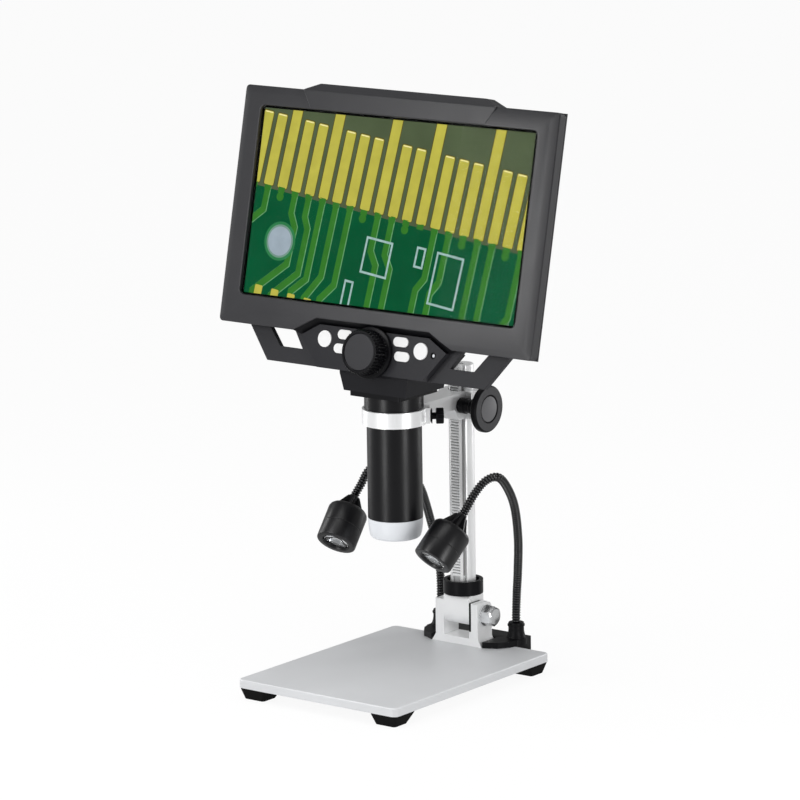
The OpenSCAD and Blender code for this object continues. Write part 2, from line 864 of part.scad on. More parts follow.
// A tube that steps in at its top, and the sleeve on it that rests on the ring
module barrel() {
    color("black") {
        difference() {
            union() {
                on_barrel(barrel_z, barrel_top, barrel_r);
                on_barrel(barrel_top, barrel_top + barrel_spigot, barrel_spigot_r);
            }
            on_barrel(barrel_z - cut, barrel_top + barrel_spigot + cut, bore_r);
            on_barrel(barrel_z - cut, barrel_z + upstand, bore_r + 1);
        }
        difference() {
            on_barrel(arm_top, barrel_top, shoulder_r);
            on_barrel(arm_top - cut, barrel_top + cut, barrel_r + snug);
        }
    }
}

module led_cover() {
    color("white")
    difference() {
        union() {
            translate([0, bar_y, cover_z + cover_edge])
                cylinder(r1 = cover_edge_r, r2 = cover_r, h = cover_h - cover_edge);
            translate([0, bar_y, cover_z])
                cylinder(r1 = cover_foot_r, r2 = cover_edge_r, h = cover_edge);
            on_barrel(barrel_z, barrel_z + upstand, bore_r + 1 - snug);
        }
        on_barrel(cover_z - cut, barrel_z, view_r);
        on_barrel(cover_z + cover_floor, barrel_z, bore_r - 1);
        on_barrel(barrel_z - led_seat, barrel_z + upstand + cut, bore_r + snug);
    }
}

module led_board() {
    seat = barrel_z - led_seat;
    color("green")
    difference() {
        on_barrel(seat, seat + led_board_t, bore_r);
        on_barrel(seat - cut, seat + led_board_t + cut, view_r + 1);
    }
    color("lightyellow")
    for (i = [0:led_count - 1])
        translate([0, bar_y, seat - led_h]) rotate([0, 0, i * 360 / led_count])
            translate([led_ring_r, 0, 0]) cylinder(r = led_r, h = led_h);
}

module neck_plate() {
    color("dimgray")
    difference() {
        translate([0, bar_y, barrel_top])
            rounded_slab(neck_plate_w, neck_plate_w, neck_plate_t, neck_plate_r);
        on_barrel(barrel_top - cut, neck_z + cut, barrel_spigot_r + snug);
        neck_screw_places() translate([0, 0, barrel_top - cut]) {
            cylinder(r = case_screw_r + 0.2, h = neck_plate_t + 2 * cut);
            cylinder(r = neck_head_r + gap, h = neck_sink + neck_head_h + cut);
        }
    }
}

module neck_screw_places() {
    for (sx = [-1, 1], sy = [-1, 1])
        translate([sx * neck_screw_at, bar_y + sy * neck_screw_at, 0]) children();
}

module sensor_board() {
    seat = barrel_top + barrel_spigot;
    color("green")
    difference() {
        on_barrel(seat, seat + board_t, barrel_spigot_r - gap);
        translate([bar_x[0] - 2 * gap, bar_y + bar_depth[0] - 4 * gap, seat - cut])
            cube([bar_x[1] - bar_x[0] + 4 * gap, bar_depth[1], board_t + 2 * cut]);
    }
    color("black")
    on_barrel(seat - sensor_h, seat, sensor_r);
}

module lens_carrier() {
    pitch = PI * focus_m;
    slack = 0.04;
    wide = pitch / 4 + slack;
    lean = tan(pressure);
    color("dimgray")
    difference() {
        union() {
            on_barrel(carrier_z, carrier_z + carrier_h, bore_r - run);
            translate([bar_x[0], bar_y + bar_depth[0], carrier_z + carrier_h / 2])
                cube([bar_x[1] - bar_x[0], bar_depth[1] - bar_depth[0],
                      mesh_z + focus_reach - carrier_z - carrier_h / 2]);
        }
        difference() {
            on_barrel(carrier_z + lens_t + 2, carrier_z + carrier_h + cut, bore_r - carrier_wall);
            translate([bar_x[0], bar_y + bar_depth[0], carrier_z])
                cube([bar_x[1] - bar_x[0], bar_depth[1] - bar_depth[0], carrier_h + 2 * cut]);
        }
        on_barrel(carrier_z + lens_seat, carrier_z + lens_t + 2 + cut, lens_r);
        on_barrel(carrier_z - cut, carrier_z + 2, lens_r - lens_seat);
        on_screen() for (i = [-4:3])
            translate([0, wheel_v + i * pitch, mesh_n - bar_depth[1]])
                linear_extrude(2 * bar_depth[1])
                polygon([
                    [focus_r - focus_add - cut, -wide - (focus_add + cut) * lean],
                    [focus_r + focus_ded, -wide + focus_ded * lean],
                    [focus_r + focus_ded, wide - focus_ded * lean],
                    [focus_r - focus_add - cut, wide + (focus_add + cut) * lean]
                ]);
    }
}

module objective_lens() {
    color("lightblue")
    on_barrel(carrier_z + lens_seat, carrier_z + lens_seat + lens_t, lens_r - snug);
}

// ---- Head housing and console ----

// The console's outline, taken in by d all round
function console_outline(d) = [
    [-console_x[0] + d / 2, console_v[0] + d], [console_x[0] - d / 2, console_v[0] + d],
    [console_x[1] - 1.3 * d, console_v[1]], [console_x[2] - d / 2, console_v[2] - d],
    [-console_x[2] + d / 2, console_v[2] - d], [-console_x[1] + 1.3 * d, console_v[1]]
];

// Everything above the plane of the case's underside, lowered by d
module above_case_bottom(d) {
    on_screen() translate([-case_w, case_bottom - d, -case_w]) cube([2 * case_w, case_h, 2 * case_w]);
}

module neck_block(inset) {
    low = housing_low - [inset, inset];
    high = housing_high - [inset, inset];
    floor_z = inset > 0 ? neck_z + inset : neck_z;
    hull() {
        translate([-low[0], bar_y - low[1], floor_z]) cube([2 * low[0], 2 * low[1], 0.5]);
        translate([-high[0], bar_y - high[1], neck_z + housing_flare])
            cube([2 * high[0], 2 * high[1], 0.5]);
    }
    translate([-high[0], bar_y - high[1], neck_z + housing_flare])
        cube([2 * high[0], 2 * high[1], housing_top]);
}

module console_box(inset) {
    on_screen() translate([0, 0, -bezel_d - box_d + inset])
        linear_extrude(box_d - inset + (inset > 0 ? cut : 0)) polygon(console_outline(inset));
}

module neck_housing() {
    color("dimgray")
    difference() {
        union() {
            difference() {
                union() {
                    neck_block(0);
                    console_box(0);
                }
                difference() {
                    union() {
                        neck_block(housing_wall);
                        console_box(box_wall);
                    }
                    above_case_bottom(box_wall);
                }
            }
            neck_screw_places() translate([0, 0, neck_z])
                cylinder(r = neck_boss_r, h = housing_wall + neck_boss_h);
            on_screen() screen_pin([0, wheel_v], -spindle_end, -boss_face, focus_boss_r);
        }
        above_case_bottom(0);
        on_screen() screen_box([-case_w, case_w], [-case_h, 0], [-bezel_d, case_w]);
        on_barrel(neck_z - cut, neck_z + housing_wall + cut, barrel_spigot_r + 0.7);
        neck_screw_places() translate([0, 0, neck_z - cut])
            cylinder(r = case_screw_r + snug, h = neck_bite + cut);
        on_screen() screen_pin([0, wheel_v], -spindle_end, -boss_face + cut, focus_shaft_r + run);
        for (s = [-1, 1])
            on_screen() translate([s * top_screw_x, case_bottom - 2 * box_wall, -top_screw_n])
                rotate([-90, 0, 0]) cylinder(r = case_screw_r + 0.2, h = 3 * box_wall);
    }
}

module neck_screws() {
    color("silver")
    neck_screw_places() {
        translate([0, 0, barrel_top + neck_sink]) cylinder(r = neck_head_r, h = neck_head_h);
        translate([0, 0, barrel_top + neck_sink])
            cylinder(r = case_screw_r, h = neck_plate_t + neck_bite - neck_sink - cut);
    }
    color("silver")
    for (s = [-1, 1])
        on_screen() translate([s * top_screw_x, case_bottom - box_wall, -top_screw_n]) {
            rotate([90, 0, 0]) cylinder(r = neck_head_r, h = case_head_h);
            rotate([-90, 0, 0]) cylinder(r = case_screw_r, h = box_wall + top_bite);
        }
}

module console_plate() {
    color("dimgray")
    on_screen() difference() {
        union() {
            difference() {
                translate([0, 0, -bezel_d]) linear_extrude(bezel_d - console_front)
                    polygon(console_outline(0));
                translate([0, 0, -bezel_d - cut])
                    linear_extrude(bezel_d - console_front - console_wall + cut)
                    polygon(console_outline(console_rim));
            }
            screen_pin([0, wheel_v], -bezel_d, -console_front, wheel_boss_r);
            for (s = [-1, 1], at = console_posts)
                screen_pin([s * at[0], at[1]], board_face, -console_front, console_post_r);
        }
        screen_pin([0, wheel_v], -bezel_d - cut, 0, focus_shaft_r + run);
        screen_pin(status_at, -bezel_d, 0, status_r);
        for (s = [-1, 1]) {
            screen_pin([s * round_button_at[0], round_button_at[1]], -bezel_d, 0,
                       round_button_r + button_gap);
            for (at = [oval_top_at, oval_low_at])
                translate([s * at[0], at[1], -bezel_d])
                    stadium(oval_w + 2 * button_gap, oval_h + 2 * button_gap, bezel_d);
        }
    }
}

module button_board() {
    color("green")
    on_screen() difference() {
        translate([0, 0, board_face - button_board_t]) linear_extrude(button_board_t)
            polygon(console_outline(console_rim + 2 * gap));
        screen_pin([0, wheel_v], -2 * bezel_d, 0, wheel_boss_r + 2 * gap);
    }
}

// A bar with round ends, w long and h wide
module stadium(w, h, t) {
    translate([-(w - h) / 2, -h / 2, 0]) cube([w - h, h, t]);
    for (s = [-1, 1]) translate([s * (w - h) / 2, 0, 0]) cylinder(r = h / 2, h = t);
}

module round_button(s) {
    at = [s * round_button_at[0], round_button_at[1]];
    color("white")
    on_screen() {
        screen_pin(at, button_under - flange_t, -console_front + button_out, round_button_r);
        screen_pin(at, button_under - flange_t, button_under, round_button_r + button_flange);
    }
}

module oval_button(s, at) {
    color("white")
    on_screen() translate([s * at[0], at[1], button_under - flange_t]) {
        stadium(oval_w, oval_h, -console_front + button_out - button_under + flange_t);
        stadium(oval_w + 2 * button_flange, oval_h, flange_t);
    }
}

module focus_wheel() {
    foot_n = -console_front + wheel_gap;
    color("black")
    on_screen() difference() {
        union() {
            screen_pin([0, wheel_v], foot_n, wheel_out, wheel_r);
            screen_pin([0, wheel_v], foot_n, foot_n + wheel_flange_t, wheel_flange_r);
        }
        screen_pin([0, wheel_v], foot_n - cut, wheel_out / 2, focus_shaft_r);
    }
}

module focus_spindle() {
    color("silver")
    on_screen() {
        screen_pin([0, wheel_v], -spindle_end + 2 * gap, wheel_out / 2, focus_shaft_r);
        translate([0, wheel_v, mesh_n]) gear(focus_m, focus_z, focus_add, focus_ded, focus_gear_w);
    }
}

module grip(s) {
    outline = [
        [console_x[0], console_v[0]], [grip_x[0], console_v[0]], [grip_x[1], case_bottom],
        [grip_window_high[1], case_bottom], [grip_window_low[1], grip_window_v],
        [grip_window_low[0], grip_window_v], [grip_window_high[0], case_bottom],
        [console_x[1] - (case_bottom - console_v[1]) * (console_x[1] - console_x[2])
            / (console_v[2] - console_v[1]), case_bottom],
        [console_x[1], console_v[1]]
    ];
    color("dimgray")
    on_screen() mirror([s < 0 ? 1 : 0, 0, 0])
        translate([0, 0, -bezel_d - grip_t]) linear_extrude(grip_t) polygon(outline);
}

// ---- Screen ----

module bump(n0, n1, seat) {
    translate([0, 0, n0]) linear_extrude(n1 - n0)
        polygon([[-bump_base, seat], [bump_base, seat],
                 [bump_base, case_h / 2], [bump_top, bump_v], [-bump_top, bump_v],
                 [-bump_base, case_h / 2]]);
}

module front_bezel() {
    w = case_w / 2 - case_wall;
    h = case_h / 2 - case_wall;
    color([0.27, 0.27, 0.29])
    on_screen() difference() {
        union() {
            difference() {
                union() {
                    translate([0, 0, -bezel_d]) rounded_slab(case_w, case_h, bezel_d, case_r);
                    bump(-bezel_d, -bump_front, case_h / 2 - cut);
                }
                translate([0, 0, -bezel_d - cut]) linear_extrude(bezel_d - front_wall + cut)
                    polygon([
                        [-w, -h], [-notch_low[0] - 1, -h], [-notch_high[0] - 1, notch_high[1] + 2.3],
                        [notch_high[0] + 1, notch_high[1] + 2.3], [notch_low[0] + 1, -h], [w, -h],
                        [w, h], [-w, h]
                    ]);
            }
            for (s = [-1, 1], v = post_v)
                screen_pin([s * post_x, v], -bezel_d, -front_wall / 2, post_r);
        }
        translate([0, window_v, -bezel_d]) rounded_slab(window_w, window_h, 2 * bezel_d, window_r);
        translate([0, 0, -bezel_d - cut]) linear_extrude(bezel_d + 2 * cut)
            polygon([[-notch_low[0], -case_h / 2 - cut], [notch_low[0], -case_h / 2 - cut],
                     [notch_low[0], notch_low[1]], notch_high, [-notch_high[0], notch_high[1]],
                     [-notch_low[0], notch_low[1]]]);
        for (s = [-1, 1], v = post_v)
            screen_pin([s * post_x, v], -bezel_d - cut, screw_tip + 2 * gap, case_screw_r + snug);
    }
}

module rear_hull(inset) {
    back_n = -bezel_d - back_d + inset;
    low = -case_h / 2 + inset;
    wide = case_w - 2 * inset;
    narrow = wide - 2 * back_taper;
    high = case_h / 2 - inset;
    hull() {
        translate([-wide / 2, low, -bezel_d - 1]) cube([wide, high - low, 1]);
        translate([-narrow / 2, low, back_n]) cube([narrow, high - back_taper - low, 1]);
    }
}

module rear_cover() {
    back_n = -bezel_d - back_d;
    inner_n = back_n + case_wall;
    color([0.2, 0.2, 0.22])
    on_screen() difference() {
        union() {
            difference() {
                union() {
                    rear_hull(0);
                    bump(-bump_back, -bezel_d, bump_seat);
                }
                rear_hull(case_wall);
                translate([-case_w / 2 + case_wall, -case_h / 2 + case_wall, -bezel_d - 1 - snug])
                    cube([case_w - 2 * case_wall, case_h - 2 * case_wall, 1 + cut]);
            }
            intersection() {
                rear_hull(0);
                for (s = [-1, 1], v = post_v)
                    screen_pin([s * post_x, v], -boss_back, -bezel_d, boss_r);
            }
            screen_box([-apron_x, apron_x], [case_bottom + 1, apron_v],
                       [-bezel_d - apron_t, -bezel_d]);
            for (s = [-1, 1], v = panel_post_v)
                screen_pin([s * panel_post_x, v], inner_n - snug, -bezel_d, post_r);
            for (x = [board_x[0] + standoff_in, board_x[1] - standoff_in],
                 v = [board_v[0] + standoff_in, board_v[1] - standoff_in])
                screen_pin([x, v], inner_n - snug, -board_n, standoff_r);
            for (s = [-1, 1])
                translate([s * top_screw_x, case_bottom + 1, -top_screw_n]) rotate([-90, 0, 0])
                    cylinder(r = neck_boss_r, h = neck_boss_h);
        }
        for (s = [-1, 1], v = post_v) {
            screen_pin([s * post_x, v], back_n - cut, -bezel_d + cut, case_screw_r + 0.2);
            screen_pin([s * post_x, v], back_n - cut, -screw_seat, post_r + gap);
        }
        for (s = [-1, 1])
            translate([s * top_screw_x, case_bottom - cut, -top_screw_n]) rotate([-90, 0, 0])
                cylinder(r = case_screw_r + snug, h = cut + top_bite + 1.5);
        translate([(tab_x[0] + tab_x[1]) / 2 - port_w / 2 - gap, case_bottom - cut,
                   -board_n + board_t - gap])
            cube([port_w + 2 * gap, case_wall + 2 * cut, port_h + 2 * gap]);
        for (i = [-slots:slots])
            screen_box([i * slot_pitch - slot_w / 2, i * slot_pitch + slot_w / 2], slot_v,
                       [back_n - cut, inner_n + cut]);
    }
}

module case_screws() {
    color("dimgray")
    on_screen() for (s = [-1, 1], v = post_v) {
        screen_pin([s * post_x, v], -screw_seat - case_head_h, -screw_seat, post_r);
        screen_pin([s * post_x, v], -screw_seat - cut, screw_tip, case_screw_r);
    }
}

module screen_glass() {
    color("lightblue")
    on_screen() screen_box([-panel_w / 2, panel_w / 2],
        [panel_v - panel_h / 2, panel_v + panel_h / 2], [-front_wall - glass_t, -front_wall]);
}

module lcd_panel() {
    color("darkolivegreen")
    on_screen() screen_box([-panel_w / 2, panel_w / 2],
        [panel_v - panel_h / 2, panel_v + panel_h / 2], [-bezel_d, -front_wall - glass_t]);
}

module main_board() {
    color("green")
    on_screen() {
        screen_box(board_x, board_v, [-board_n, -board_n + board_t]);
        screen_box(tab_x, [tab_v, board_v[0] + cut], [-board_n, -board_n + board_t]);
    }
}

// A small receptacle whose mouth faces +x
module port() {
    difference() {
        translate([0, -port_w / 2, 0]) cube([port_len, port_w, port_h]);
        translate([1, -port_w / 2 + port_slot, port_slot])
            cube([port_len, port_w - 2 * port_slot, port_h - 2 * port_slot]);
    }
    translate([1 - snug, -port_w / 3, (port_h - port_tongue) / 2])
        cube([port_len - 2, port_w * 2 / 3, port_tongue]);
}

module power_inlet() {
    color("silver")
    on_screen() translate([(tab_x[0] + tab_x[1]) / 2, case_bottom + port_len + port_inset,
                           -board_n + board_t])
        rotate([0, 0, -90]) port();
}

// ---- Lamps ----

module lamp_yoke() {
    rear = base_y + base_d / 2 + yoke_gap;
    arm = [for (p = yoke_arm) [p[0], col_y + p[1]]];
    color("black")
    difference() {
        union() {
            for (s = [0, 1]) mirror([s, 0, 0]) {
                translate([0, 0, plate_z]) linear_extrude(yoke_t)
                    polygon(concat(arm, [[yoke_half, yoke_rear_y], [0, yoke_rear_y],
                                         [0, rear], [arm[0][0], rear]]));
                translate([socket_x, socket_y, plate_z]) cylinder(r = lobe_r, h = yoke_t);
                translate([socket_x, socket_y, plate_z + yoke_t - snug])
                    cylinder(r1 = lobe_r - 1, r2 = socket_r, h = socket_flare);
                translate([socket_x, socket_y, plate_z]) cylinder(r = socket_r, h = socket_top - plate_z);
                translate([socket_x, socket_y, socket_top - 2 * socket_lip_h])
                    cylinder(r = socket_r + socket_lip, h = socket_lip_h);
            }
            translate([-yoke_half, rear, foot_h])
                cube([2 * yoke_half, yoke_rear_y - rear, base_t + yoke_t]);
        }
        for (s = [-1, 1])
            translate([s * yoke_screw_x, yoke_screw_y, plate_z - cut])
                cylinder(r = base_screw_r + snug, h = base_bite + cut);
        translate([-port_w / 2 - snug, yoke_rear_y - port_len - gap, inlet_z - snug])
            cube([port_w + 2 * snug, port_len + cut, port_h + 2 * snug]);
    }
}

module lamp_inlet() {
    color("silver")
    translate([0, yoke_rear_y - port_len - gap, inlet_z]) rotate([0, 0, 90]) port();
}

// Moves a lamp that is built along +z, lens face at z = 0, to its place between lens and neck
module at_lamp(lens, tip) {
    d = tip - lens;
    translate(lens) rotate([0, acos(d[2] / norm(d)), atan2(d[1], d[0])]) children();
}

module lamp_shell(lens, tip) {
    color("black")
    at_lamp(lens, tip) difference() {
        union() {
            cylinder(r = lamp_r, h = lamp_len - lamp_shoulder);
            translate([0, 0, lamp_len - lamp_shoulder])
                cylinder(r1 = lamp_r, r2 = lamp_r - lamp_bevel, h = lamp_shoulder);
            translate([0, 0, lamp_len - snug])
                cylinder(r = lamp_hub_r, h = norm(tip - lens) - lamp_len + snug);
            for (i = [0:lamp_fins - 1])
                rotate([90, 0, i * 360 / lamp_fins]) linear_extrude(fin_t, center = true)
                    polygon([[0, lamp_len - snug], [fin_r[0], lamp_len - snug],
                             [fin_r[1], norm(tip - lens) - fin_below],
                             [0, norm(tip - lens) - fin_below]]);
        }
        translate([0, 0, -cut]) cylinder(r = lamp_recess_r, h = lamp_recess + cut);
        cylinder(r = wire_r, h = 2 * lamp_len);
    }
}

module lamp_optic(lens, tip) {
    color("lightyellow")
    at_lamp(lens, tip) {
        translate([0, 0, optic_at]) cylinder(r = lamp_recess_r - snug, h = optic_t);
        translate([0, 0, optic_at + optic_t])
            cylinder(r1 = lamp_recess_r - optic_t / 2, r2 = optic_tip_r,
                     h = lamp_recess - optic_at - optic_t);
    }
}

function unit(v) = v / norm(v);
// The slope of the route at point i; at its ends it is square to the socket and to the lamp
function slope(route, i, last) =
    i == 0 ? [0, 0, 1] * norm(route[1] - route[0])
    : i == len(route) - 1 ? last * norm(route[i] - route[i - 1])
    : (route[i + 1] - route[i - 1]) / 2;
function curve_at(p, q, m, n, t) =
    (2 * t ^ 3 - 3 * t ^ 2 + 1) * p + (t ^ 3 - 2 * t ^ 2 + t) * m
    + (3 * t ^ 2 - 2 * t ^ 3) * q + (t ^ 3 - t ^ 2) * n;
function smooth_route(route, last) = concat(
    [for (i = [0:len(route) - 2], k = [0:neck_steps - 1])
        curve_at(route[i], route[i + 1], slope(route, i, last), slope(route, i + 1, last),
                 k / neck_steps)],
    [route[len(route) - 1]]);

// A tube of neck_sides sides swept along the route
module lamp_neck(route, lens) {
    last = unit(lens - route[len(route) - 1]);
    path = smooth_route(route, last);
    count = len(path);
    ring = [for (i = [0:count - 1])
        let (t = i == 0 ? [0, 0, 1] : i == count - 1 ? last : unit(path[i + 1] - path[i - 1]),
             a = unit(cross(t, [1, 0, 0])), b = cross(t, a))
        for (k = [0:neck_sides - 1])
            path[i] + neck_r * (a * cos(k * 360 / neck_sides) + b * sin(k * 360 / neck_sides))];
    side = [for (i = [0:count - 2], k = [0:neck_sides - 1])
        let (n = (k + 1) % neck_sides)
        [i * neck_sides + k, i * neck_sides + n, (i + 1) * neck_sides + n, (i + 1) * neck_sides + k]];
    color("black")
    polyhedron(ring, concat(
        [[for (k = [neck_sides - 1:-1:0]) k]], side,
        [[for (k = [0:neck_sides - 1]) (count - 1) * neck_sides + k]]));
}

base_plate();
foot(-1, -1);  // foot_front_left
foot(1, -1);  // foot_front_right
foot(-1, 1);  // foot_rear_left
foot(1, 1);  // foot_rear_right
foot_screws();
hinge_bracket();
base_screws();
lamp_yoke();
lamp_inlet();
hinge_bolt();
hinge_nut();
hinge_washers();
tilt_block();
column();
rack();
column_collar();
column_grub_screws();
carriage();
pinion_bushes();
friction_screw();
pinion();
knob_spindle();
height_knob();
knob_cap();
clamp_screw();
barrel();
neck_plate();
neck_housing();
neck_screws();
led_cover();
led_board();
sensor_board();
lens_carrier();
objective_lens();
focus_wheel();
focus_spindle();
console_plate();
grip(-1);  // left_grip
grip(1);  // right_grip
front_bezel();
rear_cover();
case_screws();
screen_glass();
lcd_panel();
main_board();
button_board();
power_inlet();
round_button(-1);  // power_button
round_button(1);  // ok_button
oval_button(-1, oval_top_at);  // menu_button
oval_button(-1, oval_low_at);  // mode_button
oval_button(1, oval_top_at);  // up_button
oval_button(1, oval_low_at);  // down_button
lamp_shell(left_lens, left_route[12]);  // left_lamp_shell
lamp_optic(left_lens, left_route[12]);  // left_lamp_optic
lamp_neck(left_route, left_lens);  // left_lamp_neck
lamp_shell(right_lens, right_route[9]);  // right_lamp_shell
lamp_optic(right_lens, right_route[9]);  // right_lamp_optic
lamp_neck(right_route, right_lens);  // right_lamp_neck
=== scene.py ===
"""Looks of the screen microscope: finishes, turned and moulded pieces, light and camera."""

import json
import math

import bmesh
import bpy
from mathutils import Matrix, Vector


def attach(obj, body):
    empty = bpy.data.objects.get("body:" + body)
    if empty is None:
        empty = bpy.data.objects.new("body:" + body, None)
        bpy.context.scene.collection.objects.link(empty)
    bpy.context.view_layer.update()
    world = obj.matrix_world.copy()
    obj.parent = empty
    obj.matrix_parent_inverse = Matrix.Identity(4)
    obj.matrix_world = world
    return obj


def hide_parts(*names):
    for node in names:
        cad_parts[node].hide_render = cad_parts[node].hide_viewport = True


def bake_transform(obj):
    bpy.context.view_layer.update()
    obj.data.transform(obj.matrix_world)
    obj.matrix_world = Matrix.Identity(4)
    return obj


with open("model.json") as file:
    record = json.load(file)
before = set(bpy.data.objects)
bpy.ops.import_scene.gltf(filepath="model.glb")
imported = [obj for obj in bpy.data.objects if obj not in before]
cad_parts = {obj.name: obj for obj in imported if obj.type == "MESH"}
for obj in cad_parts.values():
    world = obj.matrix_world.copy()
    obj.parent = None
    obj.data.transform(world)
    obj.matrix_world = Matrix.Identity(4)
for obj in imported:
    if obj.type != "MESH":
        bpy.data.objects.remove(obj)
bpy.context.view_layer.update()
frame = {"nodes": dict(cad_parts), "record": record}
nodes = frame["nodes"]
record = frame["record"]
BODY_OF = {
    name: body for body, members in record["behaviour"]["bodies"].items() for name in members
}

MM = 0.001
TAU = 2 * math.pi
X, Y, Z = Vector((1, 0, 0)), Vector((0, 1, 0)), Vector((0, 0, 1))


def moved(x, y, z):
    """A shift by so many mm along each axis."""
    return Matrix.Translation(Vector((x, y, z)) * MM)


# ---------------------------------------------------------------- places on the stand, in mm
BARREL = moved(0, -5.0, 0)
SCREEN_TILT = math.radians(12.5)
SCREEN = moved(0, -12.25, 302.6) @ Matrix.Rotation(math.pi / 2 - SCREEN_TILT, 4, "X")


# ---------------------------------------------------------------- shader groups
GRAIN_SIZE, CLOUD_SIZE = 0.4, 25
ROUGH_DRIFT = 0.08


def link(tree, source, target):
    tree.links.new(source, target)


def math_node(tree, operation, fixed):
    """A math node with fixed values, given by the number of the input each one sits on."""
    node = tree.nodes.new("ShaderNodeMath")
    node.operation = operation
    for number, value in fixed.items():
        node.inputs[number].default_value = value
    return node


def new_group(name, inputs, outputs):
    """An empty node group with its inputs and outputs in place."""
    group = bpy.data.node_groups.new(name, "ShaderNodeTree")
    for label, kind, value in inputs:
        socket = group.interface.new_socket(label, in_out="INPUT", socket_type=kind)
        socket.default_value = value
    for label, kind in outputs:
        group.interface.new_socket(label, in_out="OUTPUT", socket_type=kind)
    group.nodes.new("NodeGroupInput")
    group.nodes.new("NodeGroupOutput")
    return group


def surface_group():
    """Fine grain and slow clouding, for mouldings and metals alike."""
    group = new_group(
        "surface_texture",
        [
            ("Grain Size", "NodeSocketFloat", GRAIN_SIZE),
            ("Stretch", "NodeSocketVector", (1, 1, 1)),
            ("Cloud Size", "NodeSocketFloat", CLOUD_SIZE),
        ],
        [("Grain", "NodeSocketFloat"), ("Cloud", "NodeSocketFloat")],
    )
    n = group.nodes
    given, out = n["Group Input"], n["Group Output"]
    place = n.new("ShaderNodeTexCoord")
    stretch = n.new("ShaderNodeVectorMath")
    stretch.operation = "MULTIPLY"
    link(group, place.outputs["Object"], stretch.inputs[0])
    link(group, given.outputs["Stretch"], stretch.inputs[1])
    for label, source, detail in (("Grain", "Grain Size", 3), ("Cloud", "Cloud Size", 2)):
        per_metre = math_node(group, "DIVIDE", {0: 1 / MM})
        link(group, given.outputs[source], per_metre.inputs[1])
        noise = n.new("ShaderNodeTexNoise")
        noise.inputs["Detail"].default_value = detail
        link(group, stretch.outputs[0], noise.inputs["Vector"])
        link(group, per_metre.outputs[0], noise.inputs["Scale"])
        link(group, noise.outputs[0], out.inputs[label])
    return group


SURFACE = surface_group()


def drifting(tree, texture, middle, reach):
    """A value that follows the clouding, from middle - reach to middle + reach."""
    node = tree.nodes.new("ShaderNodeMapRange")
    node.inputs["To Min"].default_value = middle - reach
    node.inputs["To Max"].default_value = middle + reach
    link(tree, texture.outputs["Cloud"], node.inputs["Value"])
    return node.outputs[0]


def clouded(name, color, rough, specular, grain, cloud, tone):
    """A new material, its shader, its texture and its colour that drifts with the clouding."""
    made = bpy.data.materials.new(name)
    made.use_nodes = True
    tree = made.node_tree
    shader = tree.nodes["Principled BSDF"]
    shader.inputs["Specular IOR Level"].default_value = specular
    texture = tree.nodes.new("ShaderNodeGroup")
    texture.node_tree = SURFACE
    texture.inputs["Grain Size"].default_value = grain
    texture.inputs["Cloud Size"].default_value = cloud
    mix = tree.nodes.new("ShaderNodeVectorMath")
    mix.operation = "SCALE"
    mix.inputs[0].default_value = color
    link(tree, drifting(tree, texture, 1, tone), mix.inputs["Scale"])
    link(tree, drifting(tree, texture, rough, ROUGH_DRIFT), shader.inputs["Roughness"])
    return made, shader, texture, mix.outputs[0]


def finish(
    name, color, rough, metal=0.0, grain=GRAIN_SIZE, depth=0.02, tone=0.06,
    stretch=(1, 1, 1), specular=0.5,
):
    """A finish with its share of metal, grain size and depth in mm, and share of clouding."""
    made, shader, texture, shade = clouded(
        name, color, rough, specular, grain, CLOUD_SIZE, tone
    )
    tree = made.node_tree
    texture.inputs["Stretch"].default_value = stretch
    shader.inputs["Metallic"].default_value = metal
    link(tree, shade, shader.inputs["Base Color"])
    if depth:
        bump = tree.nodes.new("ShaderNodeBump")
        bump.inputs["Distance"].default_value = depth * MM
        link(tree, texture.outputs["Grain"], bump.inputs["Height"])
        link(tree, bump.outputs[0], shader.inputs["Normal"])
    return made


def lit(name, color, tone, cloud):
    """A colour of the picture: it shines by itself, so what it reflects is nearly black."""
    made, shader, _, shade = clouded(
        name, color, rough=0.8, specular=0.0, grain=0.8, cloud=cloud, tone=tone
    )
    shader.inputs["Base Color"].default_value = (0.004, 0.004, 0.004, 1)
    link(made.node_tree, shade, shader.inputs["Emission Color"])
    shader.inputs["Emission Strength"].default_value = 1
    return made


def clear(name, color, rough, ior):
    """A clear material with its index of refraction."""
    made = bpy.data.materials.new(name)
    made.use_nodes = True
    shader = made.node_tree.nodes["Principled BSDF"]
    shader.inputs["Base Color"].default_value = (*color, 1)
    shader.inputs["Roughness"].default_value = rough
    shader.inputs["IOR"].default_value = ior
    shader.inputs["Transmission Weight"].default_value = 1
    return made


# name, colour, roughness, share of metal, grain size and depth in mm
SANDED_PLATE = finish("sanded_plate", (0.67, 0.68, 0.695), 0.45, 0.25, 0.35, 0.03, tone=0.04)
MILLED = finish("milled_aluminium", (0.90, 0.905, 0.91), 0.34, 0.3, 0.3, 0.012)
CAST = finish("cast_aluminium", (0.88, 0.885, 0.89), 0.34, 0.45, 0.3, 0.012)
DRAWN = finish(
    "drawn_aluminium", (0.92, 0.925, 0.93), 0.28, 0.4, 0.25, 0.01, stretch=(1, 1, 0.03)
)
CUT_STEEL = finish("cut_steel", (0.92, 0.925, 0.93), 0.32, 0.25, 0.2, 0.006)
BRIGHT_STEEL = finish("bright_steel", (0.82, 0.83, 0.84), 0.22, 0.9, 0.3, 0.004)
BRONZE = finish("bronze", (0.60, 0.42, 0.20), 0.35, 1, 0.2, 0.004)
REFLECTOR = finish("lamp_reflector", (0.86, 0.87, 0.88), 0.12, 1, 0.6, 0.01)
RUBBER = finish("rubber", (0.006, 0.006, 0.006), 0.72, 0, 0.3, 0.03, specular=0.10)
BLACK = finish("black_moulding", (0.004, 0.004, 0.005), 0.40, 0, 0.25, 0.012, specular=0.16)
